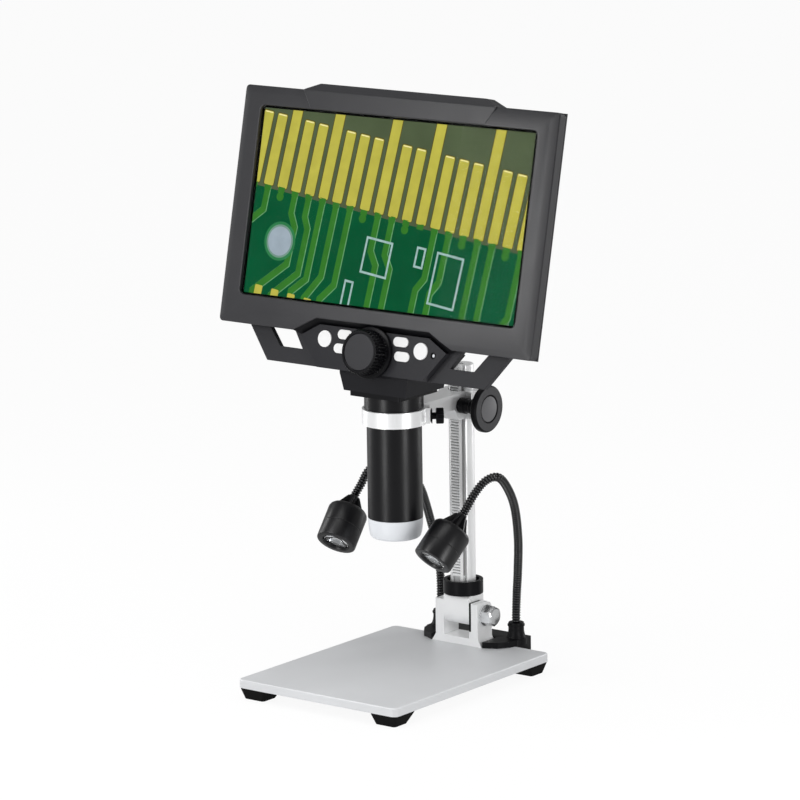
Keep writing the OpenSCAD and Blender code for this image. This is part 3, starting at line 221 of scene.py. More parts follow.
BLACK_SATIN = finish("black_satin", (0.003, 0.003, 0.004), 0.30, 0, 0.2, 0.006, specular=0.16)
KNOB_BLACK = finish("knob_black", (0.004, 0.004, 0.005), 0.36, 0, 0.2, 0.008, specular=0.16)
KNOB_RING = finish("knob_ring", (0.045, 0.045, 0.048), 0.40, 0, 0.25, 0.012, specular=0.2)
KNOB_FACE = finish("knob_face", (0.12, 0.12, 0.125), 0.45, 0, 0.25, 0.012, specular=0.2)
WHEEL_FACE = finish("wheel_face", (0.030, 0.030, 0.033), 0.42, 0, 0.2, 0.012, specular=0.2)
BARREL_BLACK = finish("barrel_black", (0.003, 0.003, 0.004), 0.32, 0, 0.5, 0.03, specular=0.30)
LAMP_BLACK = finish("lamp_black", (0.003, 0.003, 0.004), 0.34, 0, 0.3, 0.012, specular=0.5)
NECK_BLACK = finish("neck_black", (0.002, 0.002, 0.003), 0.20, 0, 0.2, 0.002, specular=0.9)
CHARCOAL = finish("charcoal_case", (0.022, 0.022, 0.025), 0.42, 0, 0.22, 0.014, specular=0.6)
GRIP = finish("grip_case", (0.028, 0.028, 0.031), 0.44, 0, 0.22, 0.014, specular=0.16)
CONSOLE = finish("console_case", (0.020, 0.020, 0.023), 0.40, 0, 0.22, 0.012, specular=0.2)
HOUSING = finish("neck_housing", (0.010, 0.010, 0.012), 0.40, 0, 0.25, 0.012, specular=0.16)
BACK_CASE = finish("back_case", (0.032, 0.032, 0.035), 0.46, 0, 0.3, 0.02, specular=0.35)
SOCKET_DARK = finish("socket_dark", (0.002, 0.002, 0.002), 0.7, depth=0, specular=0.1)
# painted shade: a mid grey for the shade lines in the rack's roots, in the groove and beside the
# rack
PAINTED_SHADE_GREY = finish("painted_shade_grey", (0.22, 0.22, 0.22), 0.6, depth=0, specular=0.1)
FROSTED = finish("frosted_cover", (0.66, 0.68, 0.71), 0.38, 0, 0.3, 0.01, tone=0.03)
BOARD = finish("circuit_board", (0.01, 0.12, 0.05), 0.4, 0, 0.3, 0.006)
WHITE_KEY = finish("white_key", (0.70, 0.70, 0.70), 0.35, 0, 0.3, 0.002, tone=0.01)
EMITTER = finish("lamp_emitter", (0.30, 0.28, 0.16), 0.4, depth=0)
LENS = clear("clear_lens", (0.98, 0.99, 1.0), 0.03, 1.45)
GLASS = clear("screen_glass", (1, 1, 1), 0.0, 1.05)

# name, colour, share of clouding and its size in mm
PICTURE_GROUND = lit("picture_ground", (0.080, 0.108, 0.054), 0.30, 30)
PICTURE_MASK = lit("picture_mask", (0.002, 0.086, 0.030), 0.28, 26)
PICTURE_TRACE = lit("picture_trace", (0.035, 0.185, 0.022), 0.18, 8)
PICTURE_EDGE = lit("picture_trace_edge", (0.12, 0.33, 0.14), 0.5, 3)
PICTURE_GOLD = lit("picture_gold", (0.50, 0.46, 0.070), 0.16, 9)
PICTURE_GOLD_RIM = lit("picture_gold_rim", (0.10, 0.075, 0.015), 0.3, 4)
PICTURE_GOLD_TIP = lit("picture_gold_tip", (0.86, 0.80, 0.36), 0.1, 4)
PICTURE_MARK = lit("picture_mark", (0.34, 0.50, 0.48), 0.35, 2.5)


# ---------------------------------------------------------------- modelling helpers
# vertices nearer than this are joined, in metres, and faces flatter than this, in radians
JOIN = 2e-6
FLAT_COPY, FLAT_CASE = math.radians(0.6), 0.005


def line(bm, points, closed):
    """Adds a line of edges through points given in mm, and hands back its edges."""
    verts = [bm.verts.new(Vector(p) * MM) for p in points]
    ends = verts[1:] + verts[:1] if closed else verts[1:]
    return [bm.edges.new(pair) for pair in zip(verts, ends)]


def bar(sections):
    """A solid through a row of like sections in mm, closed at both ends."""
    bm = bmesh.new()
    rings = [line(bm, section, True) for section in sections]
    bmesh.ops.contextual_create(bm, geom=rings[0])
    bmesh.ops.contextual_create(bm, geom=rings[-1])
    for low, high in zip(rings, rings[1:]):
        bmesh.ops.bridge_loops(bm, edges=low + high)
    return clean(bm)


def clean(bm, dist=JOIN):
    """Joins vertices that lie together and turns all faces outwards."""
    bmesh.ops.remove_doubles(bm, verts=bm.verts, dist=dist)
    bmesh.ops.recalc_face_normals(bm, faces=bm.faces)
    return bm


def turned(profile, steps=96, place=Matrix.Identity(4)):
    """A closed turned shape about +Z, from its (radius, height) outline in mm."""
    bm = bmesh.new()
    line(bm, [(r, 0, z) for r, z in profile], profile[0][0] > 0)
    bmesh.ops.spin(
        bm, geom=bm.verts[:] + bm.edges[:], cent=(0, 0, 0), axis=Z, angle=TAU,
        steps=steps, use_merge=True, use_duplicate=False,
    )
    clean(bm)
    bmesh.ops.transform(bm, matrix=place, verts=bm.verts)
    return bm


def slab(points, low, high, place=Matrix.Identity(4)):
    """A flat outline in mm, thickened from height low to height high."""
    bm = bmesh.new()
    line(bm, [(x, y, low) for x, y in points], True)
    face = bm.faces.new(bm.verts[:])
    side = bmesh.ops.extrude_face_region(bm, geom=[face])
    top = [g for g in side["geom"] if isinstance(g, bmesh.types.BMVert)]
    bmesh.ops.translate(bm, vec=(0, 0, (high - low) * MM), verts=top)
    clean(bm)
    bmesh.ops.transform(bm, matrix=place, verts=bm.verts)
    return bm


def add(bm, other):
    """Puts the shapes of another bmesh into this one."""
    mesh = bpy.data.meshes.new("part")
    other.to_mesh(mesh)
    other.free()
    bm.from_mesh(mesh)
    bpy.data.meshes.remove(mesh)
    return bm


def node_copy(name):
    """A CAD node's shape with its triangles joined up into plain faces."""
    bm = bmesh.new()
    bm.from_mesh(nodes[name].data)
    bmesh.ops.remove_doubles(bm, verts=bm.verts, dist=JOIN)
    bmesh.ops.dissolve_limit(bm, angle_limit=FLAT_COPY, verts=bm.verts[:], edges=bm.edges[:])
    return bm


def piece(name, bm, body, material, replaces=(), bevel=0.0, segments=3, angle=32):
    """Puts a finished bmesh into the scene as a piece that rides on a body."""
    mesh = bpy.data.meshes.new(name)
    bm.to_mesh(mesh)
    bm.free()
    for polygon in mesh.polygons:
        polygon.use_smooth = True
    mesh.set_sharp_from_angle(angle=math.radians(angle))
    shown = bpy.data.objects.new(name, mesh)
    bpy.context.scene.collection.objects.link(shown)
    mesh.materials.append(material)
    if bevel:
        soft = shown.modifiers.new("soft_edges", "BEVEL")
        soft.width = bevel * MM
        soft.segments = segments
        soft.limit_method = "ANGLE"
        soft.angle_limit = math.radians(angle)
        soft.harden_normals = True
        soft.use_clamp_overlap = True
        soft.miter_outer = "MITER_ARC"
    if body:
        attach(shown, body)
    if replaces:
        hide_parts(*replaces)
    return shown


def softened(node, material, bevel, segments=3, angle=32):
    """The CAD node again, with its edges rounded by bevel mm."""
    return piece(
        "soft_" + node, node_copy(node), BODY_OF[node], material, (node,),
        bevel, segments, angle,
    )


def plain(node, material):
    """A CAD node that keeps its own shape and only gets its finish."""
    data = nodes[node].data
    data.materials.clear()
    data.materials.append(material)


def arc(cx, cy, r, start, end, steps):
    """Points on an arc, angles in degrees."""
    return [
        (
            cx + r * math.cos(math.radians(start + (end - start) * i / steps)),
            cy + r * math.sin(math.radians(start + (end - start) * i / steps)),
        )
        for i in range(steps + 1)
    ]


def rounded_box(x0, x1, y0, y1, r, steps=6):
    """The outline of a box with round corners."""
    return (
        arc(x1 - r, y0 + r, r, -90, 0, steps)
        + arc(x1 - r, y1 - r, r, 0, 90, steps)
        + arc(x0 + r, y1 - r, r, 90, 180, steps)
        + arc(x0 + r, y0 + r, r, 180, 270, steps)
    )


def along_x(x, y, z):
    """Turns a shape built about +Z so that it points along +X from a place in mm."""
    return moved(x, y, z) @ Matrix.Rotation(math.pi / 2, 4, "Y")


def facing(at, ahead):
    """Turns a shape built about +Z so that it points ahead from a place in mm."""
    return moved(*at) @ ahead.to_track_quat("Z", "Y").to_matrix().to_4x4()


def radial(bm, place, low, high, move):
    """Shifts the vertices between two heights of a turned shape outwards by move(angle, r)."""
    back = place.inverted()
    for v in bm.verts:
        at = back @ v.co
        if low * MM < at.z < high * MM:
            r = math.hypot(at.x, at.y) / MM
            a = math.atan2(at.y, at.x)
            k = (r + move(a, r)) / r if r > 1 else 1
            v.co = place @ Vector((at.x * k, at.y * k, at.z))


# ---------------------------------------------------------------- base and feet
softened("base_plate", SANDED_PLATE, 0.18, 2, 25)
for corner in ("front_left", "front_right", "rear_left", "rear_right"):
    softened("foot_" + corner, RUBBER, 0.5)
for node in ("foot_screws", "base_screws", "case_screws", "neck_screws"):
    plain(node, BRIGHT_STEEL)

# ---------------------------------------------------------------- bracket, tilt block and bolt
softened("hinge_bracket", MILLED, 0.55)
softened("tilt_block", MILLED, 0.5)
softened("hinge_bolt", BRIGHT_STEEL, 0.25)
softened("hinge_nut", BRIGHT_STEEL, 0.3)
BLOCK_FOOT = Vector((0, 0, 22.6)) * MM


def friction_plate(name, side, material, keep=None):
    """A plate between block and ear, or its part on one side of the block's foot: keep."""
    plate = node_copy("hinge_washers")
    bmesh.ops.delete(plate, geom=[v for v in plate.verts if v.co.x * side < 0], context="VERTS")
    if keep:
        cut = bmesh.ops.bisect_plane(
            plate, geom=plate.verts[:] + plate.edges[:] + plate.faces[:], plane_co=BLOCK_FOOT,
            plane_no=keep, clear_inner=True,
        )
        rim = [g for g in cut["geom_cut"] if isinstance(g, bmesh.types.BMEdge)]
        bmesh.ops.contextual_create(plate, geom=rim)
    piece(
        name, plate, "stand", material, ("hinge_washers",) if keep == Z else (),
    )


# the right plate above the block's foot is black as painted shade of the gap between block and
# ear; its part below the foot and the left plate keep the milled metal
friction_plate("friction_plate_right_painted_shade", 1, BLACK, Z)
friction_plate("friction_plate_foot", 1, MILLED, -Z)
friction_plate("friction_plate_left", -1, MILLED)

# ---------------------------------------------------------------- column, rack and cup
softened("column", DRAWN, 0.12, 2)
plain("rack", CUT_STEEL)
softened("column_collar", BLACK_SATIN, 0.45)
plain("column_grub_screws", BLACK)

# outlines of painted shade: in the tooth roots, on the groove's far wall, and on the column beside
# the rack
ROOT_SHADE = [(-3.2, 59.22), (3.2, 59.22), (3.2, 59.5), (-3.2, 59.5)]
GROOVE_SHADE = [(6.2, 67.14), (7.2, 67.14), (7.2, 67.3), (6.2, 67.3)]
RACK_GAP_SHADE = [(5.123, 59.559), (5.920, 60.283), (5.755, 60.443), (4.980, 59.739)]


def column_painted_shade():
    """Painted shade in grey: in the rack's tooth roots, in the groove and on the column beside the
    rack.
    """
    heights = [v.co.z / MM for v in nodes["rack"].data.vertices]
    low, high = min(heights) + 1, max(heights) - 1
    bm = slab(RACK_GAP_SHADE, low, high)
    for outline in (ROOT_SHADE, GROOVE_SHADE):
        add(bm, slab(outline, low, high))
    piece("column_painted_shade", bm, "column", PAINTED_SHADE_GREY, ())


column_painted_shade()

# ---------------------------------------------------------------- carriage and its knobs
softened("carriage", CAST, 0.45)
RING_LOW, RING_HIGH, RING_R, BAND_T = 171.55, 180.45, 20.42, 0.6


def ring_band():
    """The bright band round the carriage's ring."""
    inner = RING_R - BAND_T
    outline = [(inner, RING_LOW), (RING_R, RING_LOW), (RING_R, RING_HIGH), (inner, RING_HIGH)]
    piece("ring_band", turned(outline, 180, BARREL), "carriage", CAST, ())


ring_band()
plain("pinion_bushes", BRONZE)
plain("friction_screw", BLACK)
plain("pinion", BRONZE)
plain("knob_spindle", BRIGHT_STEEL)

# distances from the stand's middle: the arm's right face, and the knob's disc from back to front
ARM_FACE, DISC_BACK, DISC_FRONT, DISC_R = 8.6, 27.0, 31.5, 15.2
PINION_PLACE = along_x(0, 53.752, 173.2)


def height_knob():
    """The big knob: a hub with two rings, and a disc with a dished face."""
    arm, back, front, r = ARM_FACE, DISC_BACK, DISC_FRONT, DISC_R
    outline = [
        (2.5, arm), (4.6, arm), (5.15, arm + 0.5), (5.15, arm + 5), (4.5, arm + 5.6),
        (4.5, arm + 9), (5.15, arm + 9.6), (5.15, back - 1.2), (7.5, back), (r - 0.8, back),
        (r, back + 0.8), (r, front - 0.9), (r - 0.9, front), (9.1, front), (8.3, front - 0.8),
        (2.5, front - 0.8),
    ]
    piece(
        "height_knob_turned", turned(outline, 120, PINION_PLACE), "height_knob", KNOB_BLACK,
        ("height_knob",), 0.2, 2, 25,
    )
    rim = [(9.3, front - 0.2), (r - 1.1, front - 0.2), (r - 1.2, front + 0.05),
           (9.4, front + 0.05)]
    piece(
        "height_knob_ring", turned(rim, 120, PINION_PLACE), "height_knob", KNOB_RING, (),
    )
    cap = [(0, front - 0.9), (8.2, front - 0.9), (8.2, front - 0.2), (7.6, front + 0.1),
           (0, front + 0.15)]
    piece(
        "height_knob_face", turned(cap, 96, PINION_PLACE), "height_knob", KNOB_FACE,
        ("knob_cap",),
    )


height_knob()

SCREW_HEIGHT = 175
SCREW_TURN = math.radians(40)
SCREW_PLACE = (
    BARREL @ moved(0, 0, SCREW_HEIGHT) @ Matrix.Rotation(SCREW_TURN, 4, "Z")
    @ Matrix.Rotation(math.pi / 2, 4, "Y")
)
SCREW_KNURLS, KNURL_DEPTH = 24, 0.2


def knurl(a, r):
    """The outward shift of the thumb screw's head at an angle, negative in its grooves."""
    return -KNURL_DEPTH if r > 4.9 and math.cos(a * SCREW_KNURLS) > 0 else 0


def thumb_screw():
    """The barrel's clamp screw: a cone against the lug, a waist and a knurled head."""
    outline = [
        (0, 17.9), (2.0, 17.9), (2.0, 22.8), (3.4, 22.8), (4.9, 23.7), (4.9, 24.0), (2.2, 24.1),
        (2.2, 26.4), (4.7, 26.5), (5.1, 26.9), (5.1, 30.9), (4.7, 31.3), (0, 31.3),
    ]
    bm = turned(outline, 96, SCREW_PLACE)
    radial(bm, SCREW_PLACE, 26.6, 31.2, knurl)
    piece(
        "clamp_screw_turned", bm, "clamp_screw", BLACK_SATIN, ("clamp_screw",),
    )


thumb_screw()

# ---------------------------------------------------------------- barrel and light cover
softened("barrel", BARREL_BLACK, 0.35)
BARREL_BOTTOM = 110.2
COVER_H = 13.1


def light_cover():
    """The frosted cup: a rounded foot and a stepped hole for the lens."""
    top, low = BARREL_BOTTOM, BARREL_BOTTOM - COVER_H
    outer = [(17.5, top), (17.4, top - 4), (17.0, low + 5.6), (16.7, low + 3.6)]
    outer += [(13.4 + x, low + 3.0 + z) for x, z in arc(0, 0, 3.0, -6, -90, 8)]
    bore = [
        (9.5, low + 0.85), (8.2, low + 0.5), (7.0, low + 0.9), (7.0, low + 2.0),
        (14.0, low + 2.0), (14.0, top - 2), (15.95, top - 1.9), (15.95, top),
    ]
    piece(
        "light_cover_turned", turned(outer + bore, 96, BARREL), "head", FROSTED,
        ("led_cover",), 0.15, 2,
    )


light_cover()
for node, material in (
    ("led_board", BOARD), ("sensor_board", BOARD), ("main_board", BOARD), ("button_board", BOARD),
    ("lens_carrier", BLACK), ("objective_lens", LENS), ("focus_spindle", BRIGHT_STEEL),
    ("lamp_inlet", BRIGHT_STEEL), ("power_inlet", BRIGHT_STEEL),
):
    plain(node, material)
softened("neck_plate", BLACK, 0.4)
softened("neck_housing", HOUSING, 0.8)

# ---------------------------------------------------------------- console, grips and keys
softened("console_plate", CONSOLE, 0.35)
softened("left_grip", GRIP, 0.35)
softened("right_grip", GRIP, 0.35)
for key in ("power", "ok", "menu", "mode", "up", "down"):
    softened(key + "_button", WHITE_KEY, 0.25)

WHEEL_V = -84.2
WHEEL_PLACE = SCREEN @ moved(0, WHEEL_V, 0)
WHEEL_TEETH, TOOTH_DEPTH = 40, 0.85
STATUS_PLACE = SCREEN @ moved(47.7, -80.8, 0)


def wheel_tooth(a, r):
    """The outward shift of the wheel's rim at an angle, negative between its teeth."""
    return -TOOTH_DEPTH * max(0.0, -math.cos(a * WHEEL_TEETH)) ** 0.5 if r > 13.2 else 0


def focus_wheel():
    """The knurled wheel: a flange, two rows of teeth and a dished face."""
    foot = -2.8
    outline = [
        (2.0, foot), (16.2, foot), (16.5, foot + 0.3), (16.5, foot + 1.6), (16.1, foot + 2.0),
        (14.4, foot + 2.3), (14.4, -0.1), (14.4, 0.4), (14.4, 4.6), (14.0, 4.9), (14.0, 5.3),
        (14.4, 5.6), (14.4, 8.4), (13.7, 9.3), (13.3, 10.0), (12.0, 10.0), (11.6, 9.6),
        (2.0, 9.45),
    ]
    bm = turned(outline, WHEEL_TEETH * 6, WHEEL_PLACE)
    radial(bm, WHEEL_PLACE, 0.2, 9.4, wheel_tooth)
    piece(
        "focus_wheel_turned", bm, "focus", BLACK_SATIN, ("focus_wheel",),
        angle=30,
    )
    cap = turned([(0, 9.2), (11.5, 9.2), (11.5, 9.55), (11.2, 9.75), (0, 9.8)], 96, WHEEL_PLACE)
    piece("focus_wheel_face", cap, "focus", WHEEL_FACE, ())


focus_wheel()


def status_light():
    """The little status light beside the right-hand key."""
    rim = [(1.2, -4.6), (2.0, -4.6), (2.0, -3.6), (1.75, -3.35), (1.2, -3.5)]
    dome = [(0, -4.6), (1.2, -4.6), (1.2, -4.0), (0.8, -3.7), (0, -3.55)]
    piece(
        "status_light_ring", turned(rim, 32, STATUS_PLACE), "head", SOCKET_DARK, (),
    )
    piece(
        "status_light_lens", turned(dome, 32, STATUS_PLACE), "head", FROSTED, (),
    )


status_light()

# ---------------------------------------------------------------- screen case
CASE_W, CASE_H, CASE_D = 246.5, 152.3, 8.0
RIM_W, RIM_DROP = 4.5, 1.1
WINDOW_W, WINDOW_H, WINDOW_V = 217.5, 121.5, 3.12
NOTCH = [(62.2, -76.15), (44.5, -66.9)]
# half width, height and front edge of the brow's sections
BROW = [(68.6, 64.3, 0.28), (76, 76.15, 0.28), (65, 80.8, -3.0)]


def bezel_outline(inset):
    """The case's outline, drawn in by inset mm all round but at the notch's upper edge."""
    w, h, r = CASE_W / 2 - inset, CASE_H / 2 - inset, 2.5
    slope = (NOTCH[0][0] - NOTCH[1][0]) / (NOTCH[1][1] - NOTCH[0][1])
    foot = NOTCH[0][0] - inset * slope
    return (
        [(-foot, -h), (-NOTCH[1][0], NOTCH[1][1]), NOTCH[1], (foot, -h)]
        + arc(w - r, -h + r, r, -90, 0, 8) + arc(w - r, h - r, r, 0, 90, 8)
        + arc(-w + r, h - r, r, 90, 180, 8) + arc(-w + r, -h + r, r, 180, 270, 8)
    )


def bezel():
    """The case's front: a chamfered frame round the window, and the brow on its upper edge."""
    half = WINDOW_H / 2
    hole = rounded_box(-WINDOW_W / 2, WINDOW_W / 2, WINDOW_V - half, WINDOW_V + half, 3.5, 8)
    bm = bmesh.new()
    back, side, front, window, inner = (
        line(bm, [(x, y, height) for x, y in outline], True)
        for outline, height in (
            (bezel_outline(0), -CASE_D), (bezel_outline(0), -RIM_DROP),
            (bezel_outline(RIM_W), 0), (hole, 0), (hole, -CASE_D),
        )
    )
    for low, high in ((back, side), (side, front), (window, inner)):
        bmesh.ops.bridge_loops(bm, edges=low + high)
    for edges in (front + window, back + inner):
        bmesh.ops.triangle_fill(bm, use_beauty=True, edges=edges)
    clean(bm)
    bmesh.ops.dissolve_limit(bm, angle_limit=FLAT_CASE, verts=bm.verts[:], edges=bm.edges[:])
    add(bm, bar(
        [(-u, v, -CASE_D), (u, v, -CASE_D), (u, v, lip), (-u, v, lip)] for u, v, lip in BROW
    ))
    bmesh.ops.transform(bm, matrix=SCREEN, verts=bm.verts)
    piece(
        "bezel_moulded", bm, "head", CHARCOAL, ("front_bezel",), 0.7, 3,
        20,
    )


bezel()


def notch_slope():
    """The dark slope that leads from the bezel's notch down to the console."""
    outer = [(-NOTCH[0][0], NOTCH[0][1]), (-NOTCH[1][0], NOTCH[1][1]), NOTCH[1], NOTCH[0]]
    inner = [(-57.9, -78.4), (-43.4, -70.3), (43.4, -70.3), (57.9, -78.4)]
    bm = bar(
        [(u, v, -0.9), (p, q, -5.6), (p, q, -8), (u, v, -8)]
        for (u, v), (p, q) in zip(outer, inner)
    )
    bmesh.ops.transform(bm, matrix=SCREEN, verts=bm.verts)
    piece("notch_slope", bm, "head", BLACK, (), 0.15, 2)


notch_slope()
softened("rear_cover", BACK_CASE, 0.8, 3, 28)
plain("screen_glass", GLASS)

# ---------------------------------------------------------------- the picture on the screen
# its edges from side to side and from bottom to top, its face's depth, and one layer of it
PICTURE_U, PICTURE_V = (-107.4, 105.2), (-56.2, 62.4)
PICTURE_FRONT = -3.45
LAYER = 0.04
TURN = math.radians(-6.8)


def clipped(bm):
    """Cuts a flat shape off at the picture's edges, in the screen's own frame."""
    for point, normal in (
        ((PICTURE_U[1], 0, 0), X), ((PICTURE_U[0], 0, 0), -X),
        ((0, PICTURE_V[1], 0), Y), ((0, PICTURE_V[0], 0), -Y),
    ):
        bmesh.ops.bisect_plane(
            bm, geom=bm.verts[:] + bm.edges[:] + bm.faces[:], plane_co=Vector(point) * MM,
            plane_no=normal, clear_outer=True,
        )
    return bm


def flat(shapes, layer):
    """Flat outlines on one layer of the picture, in the pattern's turned frame."""
    bm = bmesh.new()
    height = PICTURE_FRONT + layer * LAYER
    spin = Matrix.Rotation(TURN, 4, "Z")
    for points in shapes:
        verts = [bm.verts.new(spin @ (Vector((x, y, 0)) * MM)) for x, y in points]
        bm.faces.new(verts)
    for v in bm.verts:
        v.co.z = height * MM
    bmesh.ops.recalc_face_normals(bm, faces=bm.faces)
    for face in bm.faces:
        if face.normal.z < 0:
            face.normal_flip()
    clipped(bm)
    bmesh.ops.transform(bm, matrix=SCREEN, verts=bm.verts)
    return bm


def strip(path, width):
    """The outline of a flat strip of one width along a bent path."""
    left, right = [], []
    for i, p in enumerate(path):
        here = Vector(p)
        before = Vector(path[i - 1]) if i else None
        after = Vector(path[i + 1]) if i < len(path) - 1 else None
        a = (here - before).normalized() if before else (after - here).normalized()
        b = (after - here).normalized() if after else a
        middle = (a + b).normalized()
        across = Vector((-middle.y, middle.x))
        reach = width / 2 / max(0.4, across.dot(Vector((-a.y, a.x))))
        left.append(tuple(here + across * reach))
        right.append(tuple(here - across * reach))
    return left + right[::-1]


def grown(box, d):
    """A box (x0, x1, y0, y1) grown by d all round, with its corners rounded."""
    x0, x1, y0, y1 = box
    return rounded_box(x0 - d, x1 + d, y0 - d, y1 + d, 1.0 + d, 3)


def corners(x0, x1, y0, y1):
    """The outline of a box with sharp corners."""
    return [(x0, y0), (x1, y0), (x1, y1), (x0, y1)]


def disc(x, y, r, steps):
    """The outline of a round spot."""
    return [
        (x + r * math.cos(k * TAU / steps), y + r * math.sin(k * TAU / steps))
        for k in range(steps)
    ]


def layer(name, shapes, height, material):
    """Outlines of one colour, shown at one height over the display panel."""
    piece(name, flat(shapes, height), "head", material, ())


FINGER_PITCH, FINGER_W, FINGER_SHIFT = 11.35, 7.6, 3.5
FINGER_LOW, FINGER_SHORT, FINGER_LONG = 2.0, 48.0, 95.0
FINGERS = range(-10, 12)
LONG_ONES = (-8, -5, -1, 2, 6, 9)
FAR = 140
TRACE_W, EDGE_W, EDGE_SHIFT = 4.3, 5.0, 0.35
# each trace: the finger it starts at, then its bends, as a shift from that finger and a height
TRACES = (
    (-9, ((0, 1), (0, -14), (-12, -26), (-30, -30))),
    (-7, ((0, 1), (0, -12), (5, -20), (5, -44), (-18, -66), (-18, -90))),
    (-6, ((0, 1), (0, -12), (4, -19), (4, -48), (-14, -66), (-14, -90))),
    (-5, ((0, 1), (0, -50), (-10, -60), (-10, -90))),
    (-4, ((0, 1), (0, -46), (-10, -62), (-10, -90))),
    (-3, ((0, 1), (0, -49), (-9, -60), (-9, -90))),
    (-1, ((0, 1), (0, -22), (6, -30), (6, -90))),
    (0, ((0, 1), (0, -22), (6, -30), (6, -90))),
    (3, ((0, 1), (0, -30), (-5, -38), (-5, -90))),
    (4, ((0, 1), (0, -30), (-5, -38), (-5, -90))),
    (6, ((0, 1), (0, -90))),
    (7, ((0, 1), (0, -90))),
    (9, ((0, 1), (0, -40), (-6, -50), (-6, -90))),
)
VIA_FINGERS, VIA_R, VIA_Y = (-8, -2, 1, 5, 8), 2.9, -3.5
MARKS = ((-12, 8, -36, -14), (28, 34, -24, -12), (44, 64, -44, -12), (-22, -16, -60, -44))
MARK_HALF = 0.7
HOLE = (-80, -31)
# radius, name and colour of the hole's rings, from the outside in
HOLE_RINGS = (
    (12.5, "picture_hole_halo", (0.03, 0.20, 0.07)),
    (10.6, "picture_hole_edge", (0.17, 0.30, 0.24)),
    (9.3, "picture_hole", (0.33, 0.40, 0.46)),
)


def finger_x(i):
    return i * FINGER_PITCH + FINGER_SHIFT


def picture_fingers():
    """The row of gold fingers: dark rims, gold bodies and bright tips."""
    rims, bodies, tips = [], [], []
    for i in FINGERS:
        x = finger_x(i)
        top = FINGER_LONG if i in LONG_ONES else FINGER_SHORT
        box = (x - FINGER_W / 2, x + FINGER_W / 2, FINGER_LOW, top)
        rims.append(grown(box, 0.55))
        bodies.append(grown(box, 0))
        if top == FINGER_SHORT:
            tips.append(rounded_box(box[0] + 0.6, box[1] - 0.6, top - 1.1, top - 0.3, 0.35, 2))
    layer("picture_finger_rims", rims, 2, PICTURE_GOLD_RIM)
    layer("picture_fingers", bodies, 3, PICTURE_GOLD)
    layer("picture_finger_tips", tips, 4, PICTURE_GOLD_TIP)


def picture_traces():
    """The traces with their pale edges, the fingers' feet, the vias and the lower pads."""
    paths = [[(finger_x(i) + x, y) for x, y in bends] for i, bends in TRACES]
    edges = [strip([(x + EDGE_SHIFT, y) for x, y in path], EDGE_W) for path in paths]
    layer("picture_trace_edges", edges, 2, PICTURE_EDGE)
    feet = [corners(finger_x(i) - 2.6, finger_x(i) + 2.6, -1.2, 2.6) for i in FINGERS]
    vias = [disc(finger_x(i), VIA_Y, VIA_R, 20) for i in VIA_FINGERS]
    traces = [strip(path, TRACE_W) for path in paths]
    layer("picture_traces", traces + feet + vias, 3, PICTURE_TRACE)
    pads = [
        rounded_box(-92 + k * 13.5, -86 + k * 13.5, -71 + k * 0.3, -61.5, 0.8, 2)
        for k in range(5)
    ]
    layer("picture_pads", pads, 4, PICTURE_GOLD)


def picture_marks():
    """The pale outlines of boxes on the board."""
    marks, d = [], MARK_HALF
    for x0, x1, y0, y1 in MARKS:
        marks += [
            corners(x0, x1, y1 - d, y1 + d), corners(x0, x1, y0 - d, y0 + d),
            corners(x0 - d, x0 + d, y0 - d, y1 + d), corners(x1 - d, x1 + d, y0 - d, y1 + d),
        ]
    layer("picture_marks", marks, 5, PICTURE_MARK)


def picture():
    """The display panel and the board's edge that it shows, layer over layer."""
    panel = slab(corners(-112.4, 112.4, -61.8, 67.1), -8.0, PICTURE_FRONT, SCREEN)
    piece("picture_border", panel, "head", SOCKET_DARK, ("lcd_panel",))
    layer("picture_ground", [corners(-FAR, FAR, -FAR, FAR)], 0.5, PICTURE_GROUND)
    layer("picture_mask", [corners(-FAR, FAR, -FAR, 0)], 1, PICTURE_MASK)
    picture_fingers()
    picture_traces()
    picture_marks()
    for height, (r, name, color) in enumerate(HOLE_RINGS, 4):
        layer(name, [disc(*HOLE, r, 48)], height, lit(name, color, 0.15, 9))


picture()

# ---------------------------------------------------------------- lamp yoke, necks and lamps
softened("lamp_yoke", BLACK, 0.7)
SOCKET_X, SOCKET_Y, SOCKET_TOP = 30.5, 82.0, 27.0


def socket_boots():
    """The flared skirts round the necks' sockets."""
    skirt = [(6.4, 16.4), (6.35, 17.2)]
    for t in (0.15, 0.3, 0.5, 0.7, 0.85, 1):
        skirt.append((5.1 + 1.25 * (1 - t) ** 2, 17.2 + 5.4 * t))
    skirt += [(5.1, 26.6), (4.8, 27.1), (3.0, 27.1), (3.0, 16.4)]
    for side, name in ((-1, "left"), (1, "right")):
        bm = turned(skirt, 64, moved(side * SOCKET_X, SOCKET_Y, 0))
        piece(name + "_socket_boot", bm, "stand", BLACK, (), 0.15, 2)


socket_boots()

RIGHT_LENS, LEFT_LENS = Vector((34.6, -13, 87.4)), Vector((-46.5, -8, 87.2))
RIGHT_ROUTE = [
    (SOCKET_X, SOCKET_Y, SOCKET_TOP), (31.5, 81.5, 45), (35.9, 77, 63.6), (43.6, 67, 87),
    (50.6, 54, 111), (53.7, 42, 126.7), (53.7, 32, 135.5), (49.2, 25, 134), (44.6, 19, 125.9),
    (40.1, 12, 113),
]
LEFT_ROUTE = [
    (-SOCKET_X, SOCKET_Y, SOCKET_TOP), (-30.4, 82, 46.5), (-30.2, 80, 62), (-29.3, 75.4, 75.5),
    (-26.3, 62.1, 101.4), (-24.2, 52.8, 115.4), (-26, 46.8, 124.5), (-30, 40.6, 132.2),
    (-35, 36.2, 135.6), (-40.5, 31, 134.4), (-45.5, 25.4, 128.3), (-47.3, 20.5, 120.6),
    (-49.4, 15.8, 113),
]
